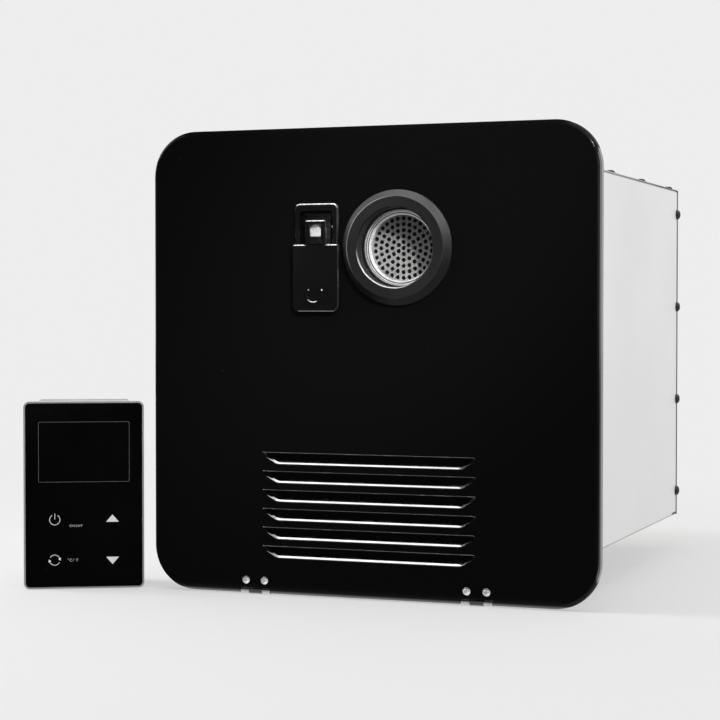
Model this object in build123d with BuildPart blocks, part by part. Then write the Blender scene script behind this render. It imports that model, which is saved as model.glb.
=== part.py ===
"""Flush-mount on-demand propane water heater with its wall controller.

Millimetres. X runs to the right, Y from the door into the cabinet, Z up.
Y = 0 is the wall plane at the back of the mounting flange, and Z = 0 its bottom rim.
"""

import os
from math import cos, radians, sin

from build123d import *

os.makedirs("parts", exist_ok=True)

# ---------------------------------------------------------------- driving dimensions
SHEET = 1.0  # painted steel of the casing and the door
FIT = 0.3  # gap between sheet parts that slide into each other
SHAFT_GAP = 0.05  # radial clearance of a running shaft or pin
HOLE_GAP = 0.1  # radial clearance round a screw or rivet

# Mounting frame and casing
FLANGE_WIDTH = 379.0
FLANGE_HEIGHT = 381.0
FLANGE_THICK = 1.5
FLANGE_CORNER = 36.0
FLANGE_HOLE_INSET = 15.0
FLANGE_HOLE_R = 2.5
FLANGE_SIDE_BAND = 28.5  # flange outside the casing on the left and right
FLANGE_TOP_BAND = 30.5
FLANGE_JOGGLE = 0.5  # step in the flange's back that the casing's front edge seats in
COLLAR_DEPTH = 26.0
COLLAR_BEND = 4.0
BODY_DEPTH = 428.0
BODY_RISE = 32.5  # underside of the casing above the flange's bottom rim
BODY_BEND = 2.5
COVER_LEDGE = 14.0  # inward ledge that the top cover is screwed to
SKIRT = 14.0  # rear panel's flange inside the casing
SCREWS_PER_SIDE = 4
REAR_SCREW_MARGIN = 24.0  # outermost rear screws to the casing's top and underside
REAR_SCREW_INSET = 6.0
TOP_SCREW_INSET = 8.0
TOP_SCREW_FRONT = 54.0
TOP_SCREW_REAR = 11.0
SCREW_R = 2.0
SCREW_HEAD_R = 4.8
SCREW_RIM_H = 1.1
SCREW_CROWN_R = 3.9
SCREW_CROWN_TOP_R = 2.6
SCREW_CROWN_H = 2.3
SCREW_LENGTH = 8.0

# Door
DOOR_OVERHANG = 1.0  # door past the flange on the left and right
DOOR_RISE = 0.4
DOOR_DEPTH = 10.0
DOOR_CORNER = 37.0
DOOR_BEND = 3.5
DOOR_GAP = 0.5  # between the door's return and the flange
LOUVRE_COUNT = 6
LOUVRE_SPACING = 15.35
LOUVRE_TOP = 117.0
LOUVRE_LENGTH = 182.0  # along the slit
LOUVRE_FOOT = 158.5  # along the bottom bend
LOUVRE_DROP = 8.4
LOUVRE_DEPTH = 6.0
LOUVRE_END_R = 6.0
LOUVRE_DRAFT = 10.0  # slope of the pressed walls, degrees

# Exhaust
EXHAUST_X = 25.5
EXHAUST_DROP = 97.8  # axis below the flange's top edge
TUBE_R = 30.5
TUBE_WALL = 1.0
TUBE_SETBACK = 6.5  # tube's lip behind the door's front
GROMMET_R = 46.0
GROMMET_BORE_R = 31.7
GROMMET_PROUD = 8.0
GROMMET_BEVEL = 5.5
GROMMET_EDGE = 1.0  # bevel of the mouth, and how far the inner lip stops short of the rim
GROMMET_LIP = 2.0
GROMMET_GROOVE_R = 42.0
SCREEN_SETBACK = 14.5
SCREEN_THICK = 0.8
SCREEN_CUP_WALL = 2.4
SCREEN_CUP_SETBACK = 2.5
SCREEN_RINGS = 5
SCREEN_HOLE_SPACING = 4.8
SCREEN_HOLE_R = 1.7

# Latch
LATCH_X = -43.0
LATCH_TRAVEL = 6.0
BEZEL_WIDTH = 38.0
BEZEL_HEIGHT = 83.3
BEZEL_DROP = 61.7  # bezel's top edge below the flange's top edge
BEZEL_THICK = 3.6
BEZEL_CORNER = 5.0
BEZEL_BEVEL = 1.2
RECESS_WIDTH = 28.6
RECESS_HEIGHT = 31.8
RECESS_RIM = 5.5  # bezel above the recess
RECESS_CORNER = 3.5
SLIDE_WIDTH = 39.4
SLIDE_HEIGHT = 53.4
SLIDE_DROP = 33.5  # slide plate's top edge below the bezel's
SLIDE_THICK = 1.5
SLIDE_CORNER = 5.0
SLIDE_BEVEL = 0.4
SLIDE_GAP = 0.15
NECK_WIDTH = 17.6
NECK_HEIGHT = 19.5
NECK_RIM = 2.0  # neck above the keeper's slot
KEEPER_SLOT_WIDTH = 10.0
KEEPER_GAP = 0.9  # keeper below the top of its slot
KEEPER_WIDTH = 9.0
KEEPER_HEIGHT = 9.6
KEEPER_RECESS = 0.6  # keeper's tip behind the slide's face
KEEPER_FOOT_RIM = 7.0  # foot plate beside the keeper
KEEPER_FOOT_RISE = 3.0  # foot plate above and below the keeper
KEEPER_FOOT_CORNER = 2.0
STUD_SPACING = 11.4
STUD_DROP = 36.3  # studs below the slide plate's top edge
STUD_R = 1.4
STUD_HEAD = 0.5
STUD_TAIL = 0.6
GRIP_R = 6.6
GRIP_DROP = 39.4  # thumb ridge's centre below the slide plate's top edge
GRIP_SHIFT = 1.5
GRIP_START = 205.0
GRIP_SWEEP = 115.0
GRIP_WIDTH = 1.4
GRIP_PROUD = 1.0
RETAINER_WIDTH = 24.0
RETAINER_HEIGHT = 12.0
RETAINER_THICK = 1.2
RETAINER_GAP = 0.2
RETAINER_CORNER = 2.0
LATCH_HOLE_WIDTH = 22.0
LATCH_HOLE_HEIGHT = 24.0
LATCH_HOLE_RIM = 2.8  # recess above the door's hole
SPRING_DROP = 9.8  # spring's upper seat below the slide plate's top edge
SPRING_WIDTH = 8.0
SPRING_DEPTH = 4.0
SPRING_WIRE = 0.6
SPRING_FOLDS = 8
SPRING_GAP = 1.0

# Hinges
HINGE_SPACING = 190.0
HINGE_SHIFT = -3.5
HINGE_LENGTH = 26.0
HINGE_KNUCKLE_R = 2.0
HINGE_PIN_R = 1.1
HINGE_LEAF = 0.9
HINGE_LEAF_HEIGHT = 17.0
HINGE_KNUCKLE_GAP = 0.3
HINGE_MIDDLE = 11.0  # length of the middle knuckle
RIVET_SPACING = 16.4
RIVET_R = 1.6
RIVET_HEAD_R = 3.2
RIVET_CROWN_R = 1.4
RIVET_HEAD_H = 1.5
RIVET_Z = 11.6
RIVET_TAIL = 0.8
RIVET_TAIL_R = 2.6
LEAF_STANDOFF = 2.4  # leaf's lower edge above the pin, clear of the middle knuckle
HINGE_NOTCH_TOP = 4.6
HINGE_NOTCH_GAP = 0.6

# Service panel behind the door
SERVICE_SETBACK = 18.0
SERVICE_LIP = 10.0
SLOT_COUNT = 7
SLOT_SPACING = 14.0
SLOT_WIDTH = 5.0
SLOT_LENGTH = 56.0
SLOT_INSET = 66.0  # slots' centre from the casing's left side
SLOT_RISE = 87.5  # slots' middle above the casing's underside
SWITCH_INSET = 46.0  # switch's centre from the casing's left side
SWITCH_DROP = 125.5  # switch's centre below the casing's top
SWITCH_WIDTH = 18.0
SWITCH_HEIGHT = 25.0
SWITCH_RIM = 2.0
SWITCH_CORNER = 2.0
SWITCH_BEZEL = 2.0
SWITCH_BODY_DEPTH = 20.0
SWITCH_POCKET = 12.0
ROCKER_WIDTH = 13.0
ROCKER_HEIGHT = 20.0
ROCKER_THICK = 6.0
ROCKER_GAP = 0.8
ROCKER_TILT = 10.0
ROCKER_EDGE = 0.8
ROCKER_INSET = 1.0  # rocker's axle behind the panel's face
ROCKER_AXLE_R = 1.2
ROCKER_AXLE_WALL = 0.7  # housing left past each end of the axle's bore
DRAIN_PLUG_R = 9.0
DRAIN_PLUG_LENGTH = 7.0
DRAIN_PIPE_R = 5.0

# Burner, exchanger and blower
CORE_SIDE_GAP = 76.0  # casing's side to the core's, were the core in the middle
CORE_DEPTH = 118.0
CORE_FRONT = 92.0
BURNER_RISE = 55.2  # burner tray above the casing's underside
BURNER_HEIGHT = 30.0
BURNER_BARS = 6
FLAME_SLOT = 4.0
FLAME_SLOT_DEPTH = 6.0
LEG_WIDTH = 14.0
ELECTRODE_RISE = 8.0
ELECTRODE_SPREAD = 34.0
ELECTRODE_R = 2.0
ELECTRODE_STEM = 14.0
ELECTRODE_REACH = 30.0
BURNER_BAR_THICK = 12.0
CORE_HEIGHT = 52.0
FIN_COUNT = 12
FIN_THICK = 1.0
CORE_TUBE_COUNT = 4
CORE_TUBE_SPACING = 30.0
CORE_TUBE_REACH = 10.0  # how far the bends stand out past the core
HOOD_HEIGHT = 20.0
HOOD_THROAT = 72.0
VOLUTE_HEIGHT = 63.0
VOLUTE_R = 70.0
VOLUTE_TONGUE_R = 60.0
VOLUTE_MOUTH_LENGTH = 20.0
VOLUTE_INLET_R = 32.0
IMPELLER_R = 50.0
IMPELLER_HEIGHT = 44.0
IMPELLER_BLADES = 24
IMPELLER_BLADE_DEPTH = 10.0
IMPELLER_HUB_R = 7.5
BLADE_LEAN = 25.0
SHAFT_R = 3.0
MOTOR_R = 31.0
MOTOR_HEIGHT = 22.0
MOTOR_BEVEL = 3.0
IGNITER_SIZE = (44.0, 20.0, 26.0)
IGNITER_CORNER = 3.0
SHAFT_DEPTH = 16.0  # shaft's length inside the motor
SHAFT_HOLE_GAP = 2.0

# Gas and water
PORT_RISE = 39.5  # ports above the casing's underside
GAS_INSET = 43.0  # gas port from the casing's left side
HOT_INSET = 21.0  # hot port from the casing's right side
WATER_PORT_SPACING = 36.0
CABLE_INSET = 101.0  # cable's hole from the casing's left side
CABLE_HOLE_R = 8.0
CABLE_R = 5.0
CABLE_LIP = 2.0
GAS_PIPE_R = 6.5
WATER_PIPE_R = 7.5
PORT_THREAD_R = 10.4
PORT_THREAD_LENGTH = 20.0
PORT_NUT_R = 15.0
PORT_NUT_LENGTH = 9.0
PORT_REACH = 24.0  # port's shank inside the rear panel's face
PORT_BORE_R = 6.0
PORT_BORE_DEPTH = 22.0
RISER_BEND = 18.0
DRAIN_STUB = 6.0
VALVE_PORT_DROP = 16.0  # valve's ports below the rear ports
VALVE_SOCKET = 18.0
SOCKET_WALL = 4.0
GAS_PIPE_JOG = 51.0
GAS_PIPE_BEND = 30.0
ELBOW_BEND = 7.0
ELBOW_R = 5.5
TEE_SIZE = 24.0
SENSOR_R = 15.0
SENSOR_LENGTH = 46.0
SENSOR_PIPE = 54.0  # pipe from the cold port's shank to the sensor
SENSOR_WALL = 3.0
TURBINE_R = 11.0
TURBINE_LENGTH = 14.0
TURBINE_BLADES = 6
AXLE_R = 1.5
TURBINE_GAP = 1.0
VALVE_SIZE = (44.0, 60.0, 40.0)
VALVE_CORNER = 5.0
VALVE_FRONT = 50.0
COIL_R = 13.0
COIL_HEIGHT = 30.0
MANIFOLD_SIZE = 14.0
MANIFOLD_GAP = 2.0
NOZZLE_R = 3.0
NOZZLE_LENGTH = 8.0

# Control box and wall controller
BOX_DEPTH = 44.0
BOX_LENGTH = 120.0
BOX_HEIGHT = 118.0
BOX_REAR_GAP = 32.0
BOX_TOP_GAP = 56.5
BOX_WALL = 2.0
BOX_CORNER = 4.0
BOARD_MARGIN = 4.0
BOARD_HOLE_Y = 48.0
BOARD_HOLE_Z = 48.0
STANDOFF = 8.0
STANDOFF_WIDTH = 6.0
TRANSFORMER_SIZE = (16.0, 24.0, 30.0)
RELAY_SIZE = (12.0, 18.0, 18.0)
CONTROLLER_WIDTH = 100.0
CONTROLLER_HEIGHT = 157.0
CONTROLLER_DEPTH = 12.0
CONTROLLER_CORNER = 5.0
CONTROLLER_GAP = 55.5  # controller's middle beyond the door's left side
CONTROLLER_Y = -32.0
CONTROLLER_TURN = 28.0
GLASS_MARGIN = 1.4
GLASS_THICK = 1.6
HUMP_WIDTH = 77.0
HUMP_TAPER = 2.0
HUMP_DEPTH = 40.0
HUMP_SHY = 0.4  # back box below the housing's top
CONTROLLER_WALL = 2.0
LEDGE_CORNER = 1.0
SCREEN_WIDTH = 76.0
SCREEN_HEIGHT = 51.0
SCREEN_DROP = 43.0  # display's middle below the housing's top
BOARD_THICK = 1.6

# ---------------------------------------------------------------- derived places
DOOR_WIDTH = FLANGE_WIDTH + 2 * DOOR_OVERHANG
DOOR_HEIGHT = FLANGE_HEIGHT - DOOR_RISE
BODY_WIDTH = FLANGE_WIDTH - 2 * FLANGE_SIDE_BAND
BODY_HEIGHT = FLANGE_HEIGHT - BODY_RISE - FLANGE_TOP_BAND
BODY_TOP = BODY_RISE + BODY_HEIGHT
BODY_MIDDLE = BODY_RISE + BODY_HEIGHT / 2
INNER_WIDTH = BODY_WIDTH - 2 * SHEET
INNER_BOTTOM = BODY_RISE + SHEET
INNER_TOP = BODY_TOP - 2 * SHEET
INNER_HEIGHT = INNER_TOP - INNER_BOTTOM
INNER_MIDDLE = (INNER_TOP + INNER_BOTTOM) / 2
COLLAR_WIDTH = INNER_WIDTH - 2 * FIT
COLLAR_HEIGHT = INNER_HEIGHT - 2 * FIT
CASING_END = BODY_DEPTH - SHEET - FIT
DOOR_BACK = -FLANGE_THICK - DOOR_GAP
DOOR_FRONT = DOOR_BACK - DOOR_DEPTH
DOOR_INSIDE = DOOR_FRONT + SHEET
DOOR_MIDDLE = DOOR_RISE + DOOR_HEIGHT / 2
EXHAUST_Z = FLANGE_HEIGHT - EXHAUST_DROP
TUBE_FRONT = DOOR_FRONT + TUBE_SETBACK
SCREEN_FRONT = DOOR_FRONT + SCREEN_SETBACK
BEZEL_TOP = FLANGE_HEIGHT - BEZEL_DROP
BEZEL_FRONT = DOOR_FRONT - BEZEL_THICK
RECESS_TOP = BEZEL_TOP - RECESS_RIM
RECESS_MIDDLE = RECESS_TOP - RECESS_HEIGHT / 2
LATCH_HOLE_MIDDLE = RECESS_TOP - LATCH_HOLE_RIM - LATCH_HOLE_HEIGHT / 2
SLIDE_TOP = BEZEL_TOP - SLIDE_DROP
SLIDE_MIDDLE = SLIDE_TOP - SLIDE_HEIGHT / 2
KEEPER_SLOT_HEIGHT = NECK_HEIGHT - NECK_RIM
KEEPER_TOP = SLIDE_TOP + KEEPER_SLOT_HEIGHT - KEEPER_GAP
STUD_Z = SLIDE_TOP - STUD_DROP
SPRING_TOP = SLIDE_TOP - SPRING_DROP
SLIDE_FRONT = BEZEL_FRONT - SLIDE_GAP - SLIDE_THICK
KEEPER_TIP = SLIDE_FRONT + KEEPER_RECESS
RETAINER_FRONT = DOOR_INSIDE + RETAINER_GAP
RETAINER_BACK = RETAINER_FRONT + RETAINER_THICK
SPRING_BOTTOM = STUD_Z + RETAINER_HEIGHT / 2
HINGE_Z = DOOR_RISE + HINGE_KNUCKLE_R
HINGE_Y = DOOR_FRONT + HINGE_KNUCKLE_R
HINGE_XS = [HINGE_SHIFT - HINGE_SPACING / 2, HINGE_SHIFT + HINGE_SPACING / 2]
SERVICE_BACK = SERVICE_SETBACK + SHEET
SLOT_X = SLOT_INSET - BODY_WIDTH / 2
SLOT_Z = BODY_RISE + SLOT_RISE
SWITCH_X = SWITCH_INSET - BODY_WIDTH / 2
SWITCH_Z = BODY_TOP - SWITCH_DROP
ROCKER_Y = SERVICE_SETBACK + ROCKER_INSET
CORE_WIDTH = BODY_WIDTH - 2 * CORE_SIDE_GAP
CORE_Y = CORE_FRONT + CORE_DEPTH / 2
VOLUTE_BASE = EXHAUST_Z - VOLUTE_HEIGHT / 2
VOLUTE_TOP = VOLUTE_BASE + VOLUTE_HEIGHT
CORE_TOP = VOLUTE_BASE - HOOD_HEIGHT
CORE_BASE = CORE_TOP - CORE_HEIGHT
BURNER_BASE = BODY_RISE + BURNER_RISE
CHAMBER_BASE = BURNER_BASE + BURNER_HEIGHT
CHAMBER_HEIGHT = CORE_BASE - CHAMBER_BASE
CORE_X = EXHAUST_X + TUBE_R + SHEET - VOLUTE_R
VOLUTE_MOUTH = CORE_Y - VOLUTE_TONGUE_R - VOLUTE_MOUTH_LENGTH
CORE_TUBE_Z = (CORE_BASE + CORE_TOP) / 2
ELECTRODE_Z = CHAMBER_BASE + ELECTRODE_RISE
PORT_Z = BODY_RISE + PORT_RISE
PORT_INNER = BODY_DEPTH - PORT_REACH
GAS_X = GAS_INSET - BODY_WIDTH / 2
HOT_X = BODY_WIDTH / 2 - HOT_INSET
COLD_X = HOT_X - WATER_PORT_SPACING
CABLE_X = CABLE_INSET - BODY_WIDTH / 2
BOX_FRONT = BODY_DEPTH - BOX_REAR_GAP - BOX_LENGTH
BOX_BASE = BODY_TOP - BOX_TOP_GAP - BOX_HEIGHT
CONTROLLER_X = -DOOR_WIDTH / 2 - CONTROLLER_GAP
BOARD_DEPTH = CONTROLLER_DEPTH - CONTROLLER_WALL - BOARD_THICK
HUMP_HEIGHT = CONTROLLER_HEIGHT - HUMP_SHY
GLASS_WIDTH = CONTROLLER_WIDTH - 2 * GLASS_MARGIN
GLASS_HEIGHT = CONTROLLER_HEIGHT - 2 * GLASS_MARGIN


def save(builder, node):
    """Labels one finished piece and writes it as its own STEP file."""
    builder.part.label = node
    export_step(builder.part, f"parts/{node}.step")


def facing(y):
    """Plane across the object at depth y: local x is X, local y is Z, normal -Y."""
    return Plane.XZ.offset(-y)


def flange_hole_points():
    """Corner and mid-side screw holes of the flange, as (x, z)."""
    x = FLANGE_WIDTH / 2 - FLANGE_HOLE_INSET
    z = FLANGE_HEIGHT / 2 - FLANGE_HOLE_INSET
    middle = FLANGE_HEIGHT / 2
    corners = [(i * x, middle + j * z) for i in (-1, 1) for j in (-1, 1)]
    return corners + [(-x, middle), (x, middle), (0, middle - z), (0, middle + z)]


def rear_screw_heights():
    """Screw heights up each side of the rear panel, evenly spaced between the margins."""
    spacing = (BODY_HEIGHT - 2 * REAR_SCREW_MARGIN) / (SCREWS_PER_SIDE - 1)
    return [BODY_RISE + REAR_SCREW_MARGIN + i * spacing for i in range(SCREWS_PER_SIDE)]


def top_screw_depths():
    """Screw depths along each side of the top cover, from the rear one forward."""
    spacing = (BODY_DEPTH - TOP_SCREW_FRONT - TOP_SCREW_REAR) / (SCREWS_PER_SIDE - 1)
    return [BODY_DEPTH - TOP_SCREW_REAR - i * spacing for i in range(SCREWS_PER_SIDE)]


# ---------------------------------------------------------------- mounting frame
with BuildPart() as mounting_frame:
    with BuildSketch(facing(0)):
        with Locations((0, FLANGE_HEIGHT / 2)):
            RectangleRounded(FLANGE_WIDTH, FLANGE_HEIGHT, FLANGE_CORNER)
        with Locations((0, INNER_MIDDLE)):
            RectangleRounded(COLLAR_WIDTH - 2 * SHEET, COLLAR_HEIGHT - 2 * SHEET, COLLAR_BEND - SHEET,
                             mode=Mode.SUBTRACT)
        with Locations(*flange_hole_points()):
            Circle(FLANGE_HOLE_R, mode=Mode.SUBTRACT)
    extrude(amount=FLANGE_THICK)
    # the casing's front edge seats in this step
    with BuildSketch(facing(0)):
        with Locations((0, BODY_MIDDLE)):
            Rectangle(BODY_WIDTH + 2 * FIT, BODY_HEIGHT + 2 * FIT)
    extrude(amount=FLANGE_JOGGLE, mode=Mode.SUBTRACT)
    with BuildSketch(facing(-FLANGE_JOGGLE)):
        with Locations((0, INNER_MIDDLE)):
            RectangleRounded(COLLAR_WIDTH, COLLAR_HEIGHT, COLLAR_BEND)
            RectangleRounded(COLLAR_WIDTH - 2 * SHEET, COLLAR_HEIGHT - 2 * SHEET, COLLAR_BEND - SHEET,
                             mode=Mode.SUBTRACT)
    extrude(amount=-COLLAR_DEPTH - FLANGE_JOGGLE)
    # rivet holes for the hinge leaves on the flange's lower band
    with BuildSketch(facing(-FLANGE_THICK)):
        for hinge_x in HINGE_XS:
            with Locations((hinge_x - RIVET_SPACING / 2, RIVET_Z), (hinge_x + RIVET_SPACING / 2, RIVET_Z)):
                Circle(RIVET_R + HOLE_GAP)
    extrude(amount=-FLANGE_THICK, mode=Mode.SUBTRACT)
save(mounting_frame, "mounting_frame")

# ---------------------------------------------------------------- casing
with BuildPart() as casing_wrap:
    with BuildSketch(facing(-FLANGE_JOGGLE)):
        with BuildLine():
            half = BODY_WIDTH / 2
            FilletPolyline(
                (-half + COVER_LEDGE, BODY_TOP - SHEET),
                (-half, BODY_TOP - SHEET),
                (-half, BODY_RISE),
                (half, BODY_RISE),
                (half, BODY_TOP - SHEET),
                (half - COVER_LEDGE, BODY_TOP - SHEET),
                radius=BODY_BEND,
            )
            offset(amount=-SHEET, side=Side.LEFT)
        make_face()
    extrude(amount=-CASING_END - FLANGE_JOGGLE)
    for side in (-1, 1):
        for height in rear_screw_heights():
            with Locations(Location((side * half, BODY_DEPTH - REAR_SCREW_INSET, height), (0, 90, 0))):
                Cylinder(SCREW_R + HOLE_GAP, 4 * SHEET, mode=Mode.SUBTRACT)
        for depth in top_screw_depths():
            with Locations((side * (half - TOP_SCREW_INSET), depth, BODY_TOP - SHEET)):
                Cylinder(SCREW_R + HOLE_GAP, 4 * SHEET, mode=Mode.SUBTRACT)
save(casing_wrap, "casing_wrap")

with BuildPart() as top_cover:
    with BuildSketch(Plane.XY.offset(BODY_TOP - SHEET)):
        with Locations((0, (CASING_END - FLANGE_JOGGLE) / 2)):
            Rectangle(BODY_WIDTH, CASING_END + FLANGE_JOGGLE)
        for depth in top_screw_depths():
            with Locations((half - TOP_SCREW_INSET, depth), (TOP_SCREW_INSET - half, depth)):
                Circle(SCREW_R + HOLE_GAP, mode=Mode.SUBTRACT)
    extrude(amount=SHEET)
save(top_cover, "top_cover")

with BuildPart() as rear_panel:
    with BuildSketch(facing(BODY_DEPTH - SHEET)):
        with Locations((0, BODY_MIDDLE)):
            Rectangle(BODY_WIDTH, BODY_HEIGHT)
        with Locations((GAS_X, PORT_Z), (COLD_X, PORT_Z), (HOT_X, PORT_Z)):
            Circle(PORT_THREAD_R + FIT, mode=Mode.SUBTRACT)
        with Locations((CABLE_X, PORT_Z)):
            Circle(CABLE_HOLE_R, mode=Mode.SUBTRACT)
    extrude(amount=-SHEET)
    with BuildSketch(facing(BODY_DEPTH - SHEET)):
        with Locations((0, INNER_MIDDLE)):
            RectangleRounded(COLLAR_WIDTH, COLLAR_HEIGHT, COLLAR_BEND)
            RectangleRounded(COLLAR_WIDTH - 2 * SHEET, COLLAR_HEIGHT - 2 * SHEET, COLLAR_BEND - SHEET,
                             mode=Mode.SUBTRACT)
    extrude(amount=SKIRT)
    for side in (-1, 1):
        for height in rear_screw_heights():
            with Locations(Location((side * half, BODY_DEPTH - REAR_SCREW_INSET, height), (0, 90, 0))):
                Cylinder(SCREW_R + HOLE_GAP, 6 * SHEET, mode=Mode.SUBTRACT)
        with Locations((side * (half - TOP_SCREW_INSET), top_screw_depths()[0], BODY_TOP)):
            Cylinder(SCREW_R + HOLE_GAP, 8 * SHEET, mode=Mode.SUBTRACT)
save(rear_panel, "rear_panel")


def screw_group(places):
    """Pan-head screws: each place is the seat under the head, local Z out of the sheet."""
    with BuildPart() as group:
        with Locations(*places):
            Cylinder(SCREW_HEAD_R, SCREW_RIM_H, align=(Align.CENTER, Align.CENTER, Align.MIN))
        with Locations(*[place * Location((0, 0, SCREW_RIM_H)) for place in places]):
            Cone(SCREW_CROWN_R, SCREW_CROWN_TOP_R, SCREW_CROWN_H,
                 align=(Align.CENTER, Align.CENTER, Align.MIN))
        with Locations(*places):
            Cylinder(SCREW_R, SCREW_LENGTH, align=(Align.CENTER, Align.CENTER, Align.MAX))
    return group


rear_screws = screw_group([
    Location((side * half, BODY_DEPTH - REAR_SCREW_INSET, height), (0, side * 90, 0))
    for side in (-1, 1) for height in rear_screw_heights()
])
save(rear_screws, "rear_panel_screws")
top_screws = screw_group([
    Location((side * (half - TOP_SCREW_INSET), depth, BODY_TOP))
    for side in (-1, 1) for depth in top_screw_depths()
])
save(top_screws, "top_cover_screws")

# ---------------------------------------------------------------- door
STUD_XS = [LATCH_X - STUD_SPACING / 2, LATCH_X + STUD_SPACING / 2]
STUD_SLOT_WIDTH = 2 * STUD_R + 2 * FIT
STUD_SLOT_LENGTH = LATCH_TRAVEL + STUD_SLOT_WIDTH + 2 * FIT


def louvre_block(top, margin):
    """Pressed dent of one louvre, grown by a margin: drafted walls, and cut off level at its open top."""
    slant = (LOUVRE_LENGTH - LOUVRE_FOOT) / 2 / LOUVRE_DROP
    foot_x = LOUVRE_FOOT / 2 + margin
    foot_z = top - LOUVRE_DROP - margin
    rise = LOUVRE_DROP + margin + LOUVRE_DEPTH
    with BuildPart(mode=Mode.PRIVATE) as block:
        with BuildSketch(facing(DOOR_FRONT)) as outline:
            with BuildLine():
                Polyline(
                    (-foot_x, foot_z),
                    (foot_x, foot_z),
                    (foot_x + rise * slant, foot_z + rise),
                    (-foot_x - rise * slant, foot_z + rise),
                    close=True,
                )
            make_face()
            fillet(outline.vertices().group_by(Axis.Y)[0], LOUVRE_END_R)
        extrude(amount=-LOUVRE_DEPTH - margin, taper=LOUVRE_DRAFT)
        split(bisect_by=Plane.XY.offset(top), keep=Keep.BOTTOM)
    return block.part


with BuildPart() as access_door:
    with BuildSketch(facing(DOOR_FRONT)):
        with Locations((0, DOOR_MIDDLE)):
            RectangleRounded(DOOR_WIDTH, DOOR_HEIGHT, DOOR_CORNER)
    extrude(amount=-DOOR_DEPTH)
    fillet(access_door.faces().sort_by(Axis.Y)[0].edges(), DOOR_BEND)
    offset(amount=-SHEET, openings=access_door.faces().sort_by(Axis.Y)[-1])
    for louvre in range(LOUVRE_COUNT):
        add(louvre_block(LOUVRE_TOP - louvre * LOUVRE_SPACING, SHEET))
    for louvre in range(LOUVRE_COUNT):
        add(louvre_block(LOUVRE_TOP - louvre * LOUVRE_SPACING, 0), mode=Mode.SUBTRACT)
    with BuildSketch(facing(DOOR_FRONT - SHEET)):
        with Locations((EXHAUST_X, EXHAUST_Z)):
            Circle(GROMMET_GROOVE_R + HOLE_GAP)
        with Locations((LATCH_X, LATCH_HOLE_MIDDLE)):
            Rectangle(LATCH_HOLE_WIDTH, LATCH_HOLE_HEIGHT)
        with Locations(*[(x, STUD_Z + LATCH_TRAVEL / 2) for x in STUD_XS]):
            SlotOverall(STUD_SLOT_LENGTH, STUD_SLOT_WIDTH, rotation=90)
        for hinge_x in HINGE_XS:
            with Locations((hinge_x, DOOR_RISE + HINGE_NOTCH_TOP / 2 - SHEET)):
                Rectangle(HINGE_LENGTH + 2 * HINGE_NOTCH_GAP, HINGE_NOTCH_TOP + 2 * SHEET)
            with Locations((hinge_x - RIVET_SPACING / 2, RIVET_Z), (hinge_x + RIVET_SPACING / 2, RIVET_Z)):
                Circle(RIVET_R + HOLE_GAP)
    extrude(amount=-DOOR_DEPTH - 2 * SHEET, mode=Mode.SUBTRACT)
    # lanced tab that the latch spring pushes against
    with Locations((LATCH_X, DOOR_INSIDE, SPRING_TOP)):
        Box(SPRING_WIDTH, SPRING_DEPTH + SPRING_GAP, SHEET, align=(Align.CENTER, Align.MIN, Align.MIN))
save(access_door, "access_door")

with BuildPart() as exhaust_grommet:
    with BuildSketch(Plane.XY):
        with BuildLine():
            face_y = DOOR_FRONT - GROMMET_PROUD
            Polyline(
                (GROMMET_BORE_R, face_y + GROMMET_EDGE),
                (GROMMET_BORE_R + GROMMET_EDGE, face_y),
                (GROMMET_R - GROMMET_BEVEL, face_y),
                (GROMMET_R, face_y + GROMMET_BEVEL),
                (GROMMET_R, DOOR_FRONT),
                (GROMMET_GROOVE_R, DOOR_FRONT),
                (GROMMET_GROOVE_R, DOOR_INSIDE),
                (GROMMET_R - GROMMET_EDGE, DOOR_INSIDE),
                (GROMMET_R - GROMMET_EDGE, DOOR_INSIDE + GROMMET_LIP),
                (GROMMET_BORE_R, DOOR_INSIDE + GROMMET_LIP),
                close=True,
            )
        make_face()
    revolve(axis=Axis.Y)
exhaust_grommet.part.move(Location((EXHAUST_X, 0, EXHAUST_Z)))
save(exhaust_grommet, "exhaust_grommet")

# ---------------------------------------------------------------- latch
with BuildPart() as latch_bezel:
    with BuildSketch(facing(DOOR_FRONT)):
        with Locations((LATCH_X, BEZEL_TOP - BEZEL_HEIGHT / 2)):
            RectangleRounded(BEZEL_WIDTH, BEZEL_HEIGHT, BEZEL_CORNER)
        with Locations((LATCH_X, RECESS_MIDDLE)):
            RectangleRounded(RECESS_WIDTH, RECESS_HEIGHT, RECESS_CORNER, mode=Mode.SUBTRACT)
        with Locations(*[(x, STUD_Z + LATCH_TRAVEL / 2) for x in STUD_XS]):
            SlotOverall(STUD_SLOT_LENGTH, STUD_SLOT_WIDTH, rotation=90, mode=Mode.SUBTRACT)
    extrude(amount=BEZEL_THICK)
    front_rim = latch_bezel.faces().sort_by(Axis.Y)[0].outer_wire().edges()
    chamfer(front_rim, BEZEL_BEVEL)
save(latch_bezel, "latch_bezel")

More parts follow.
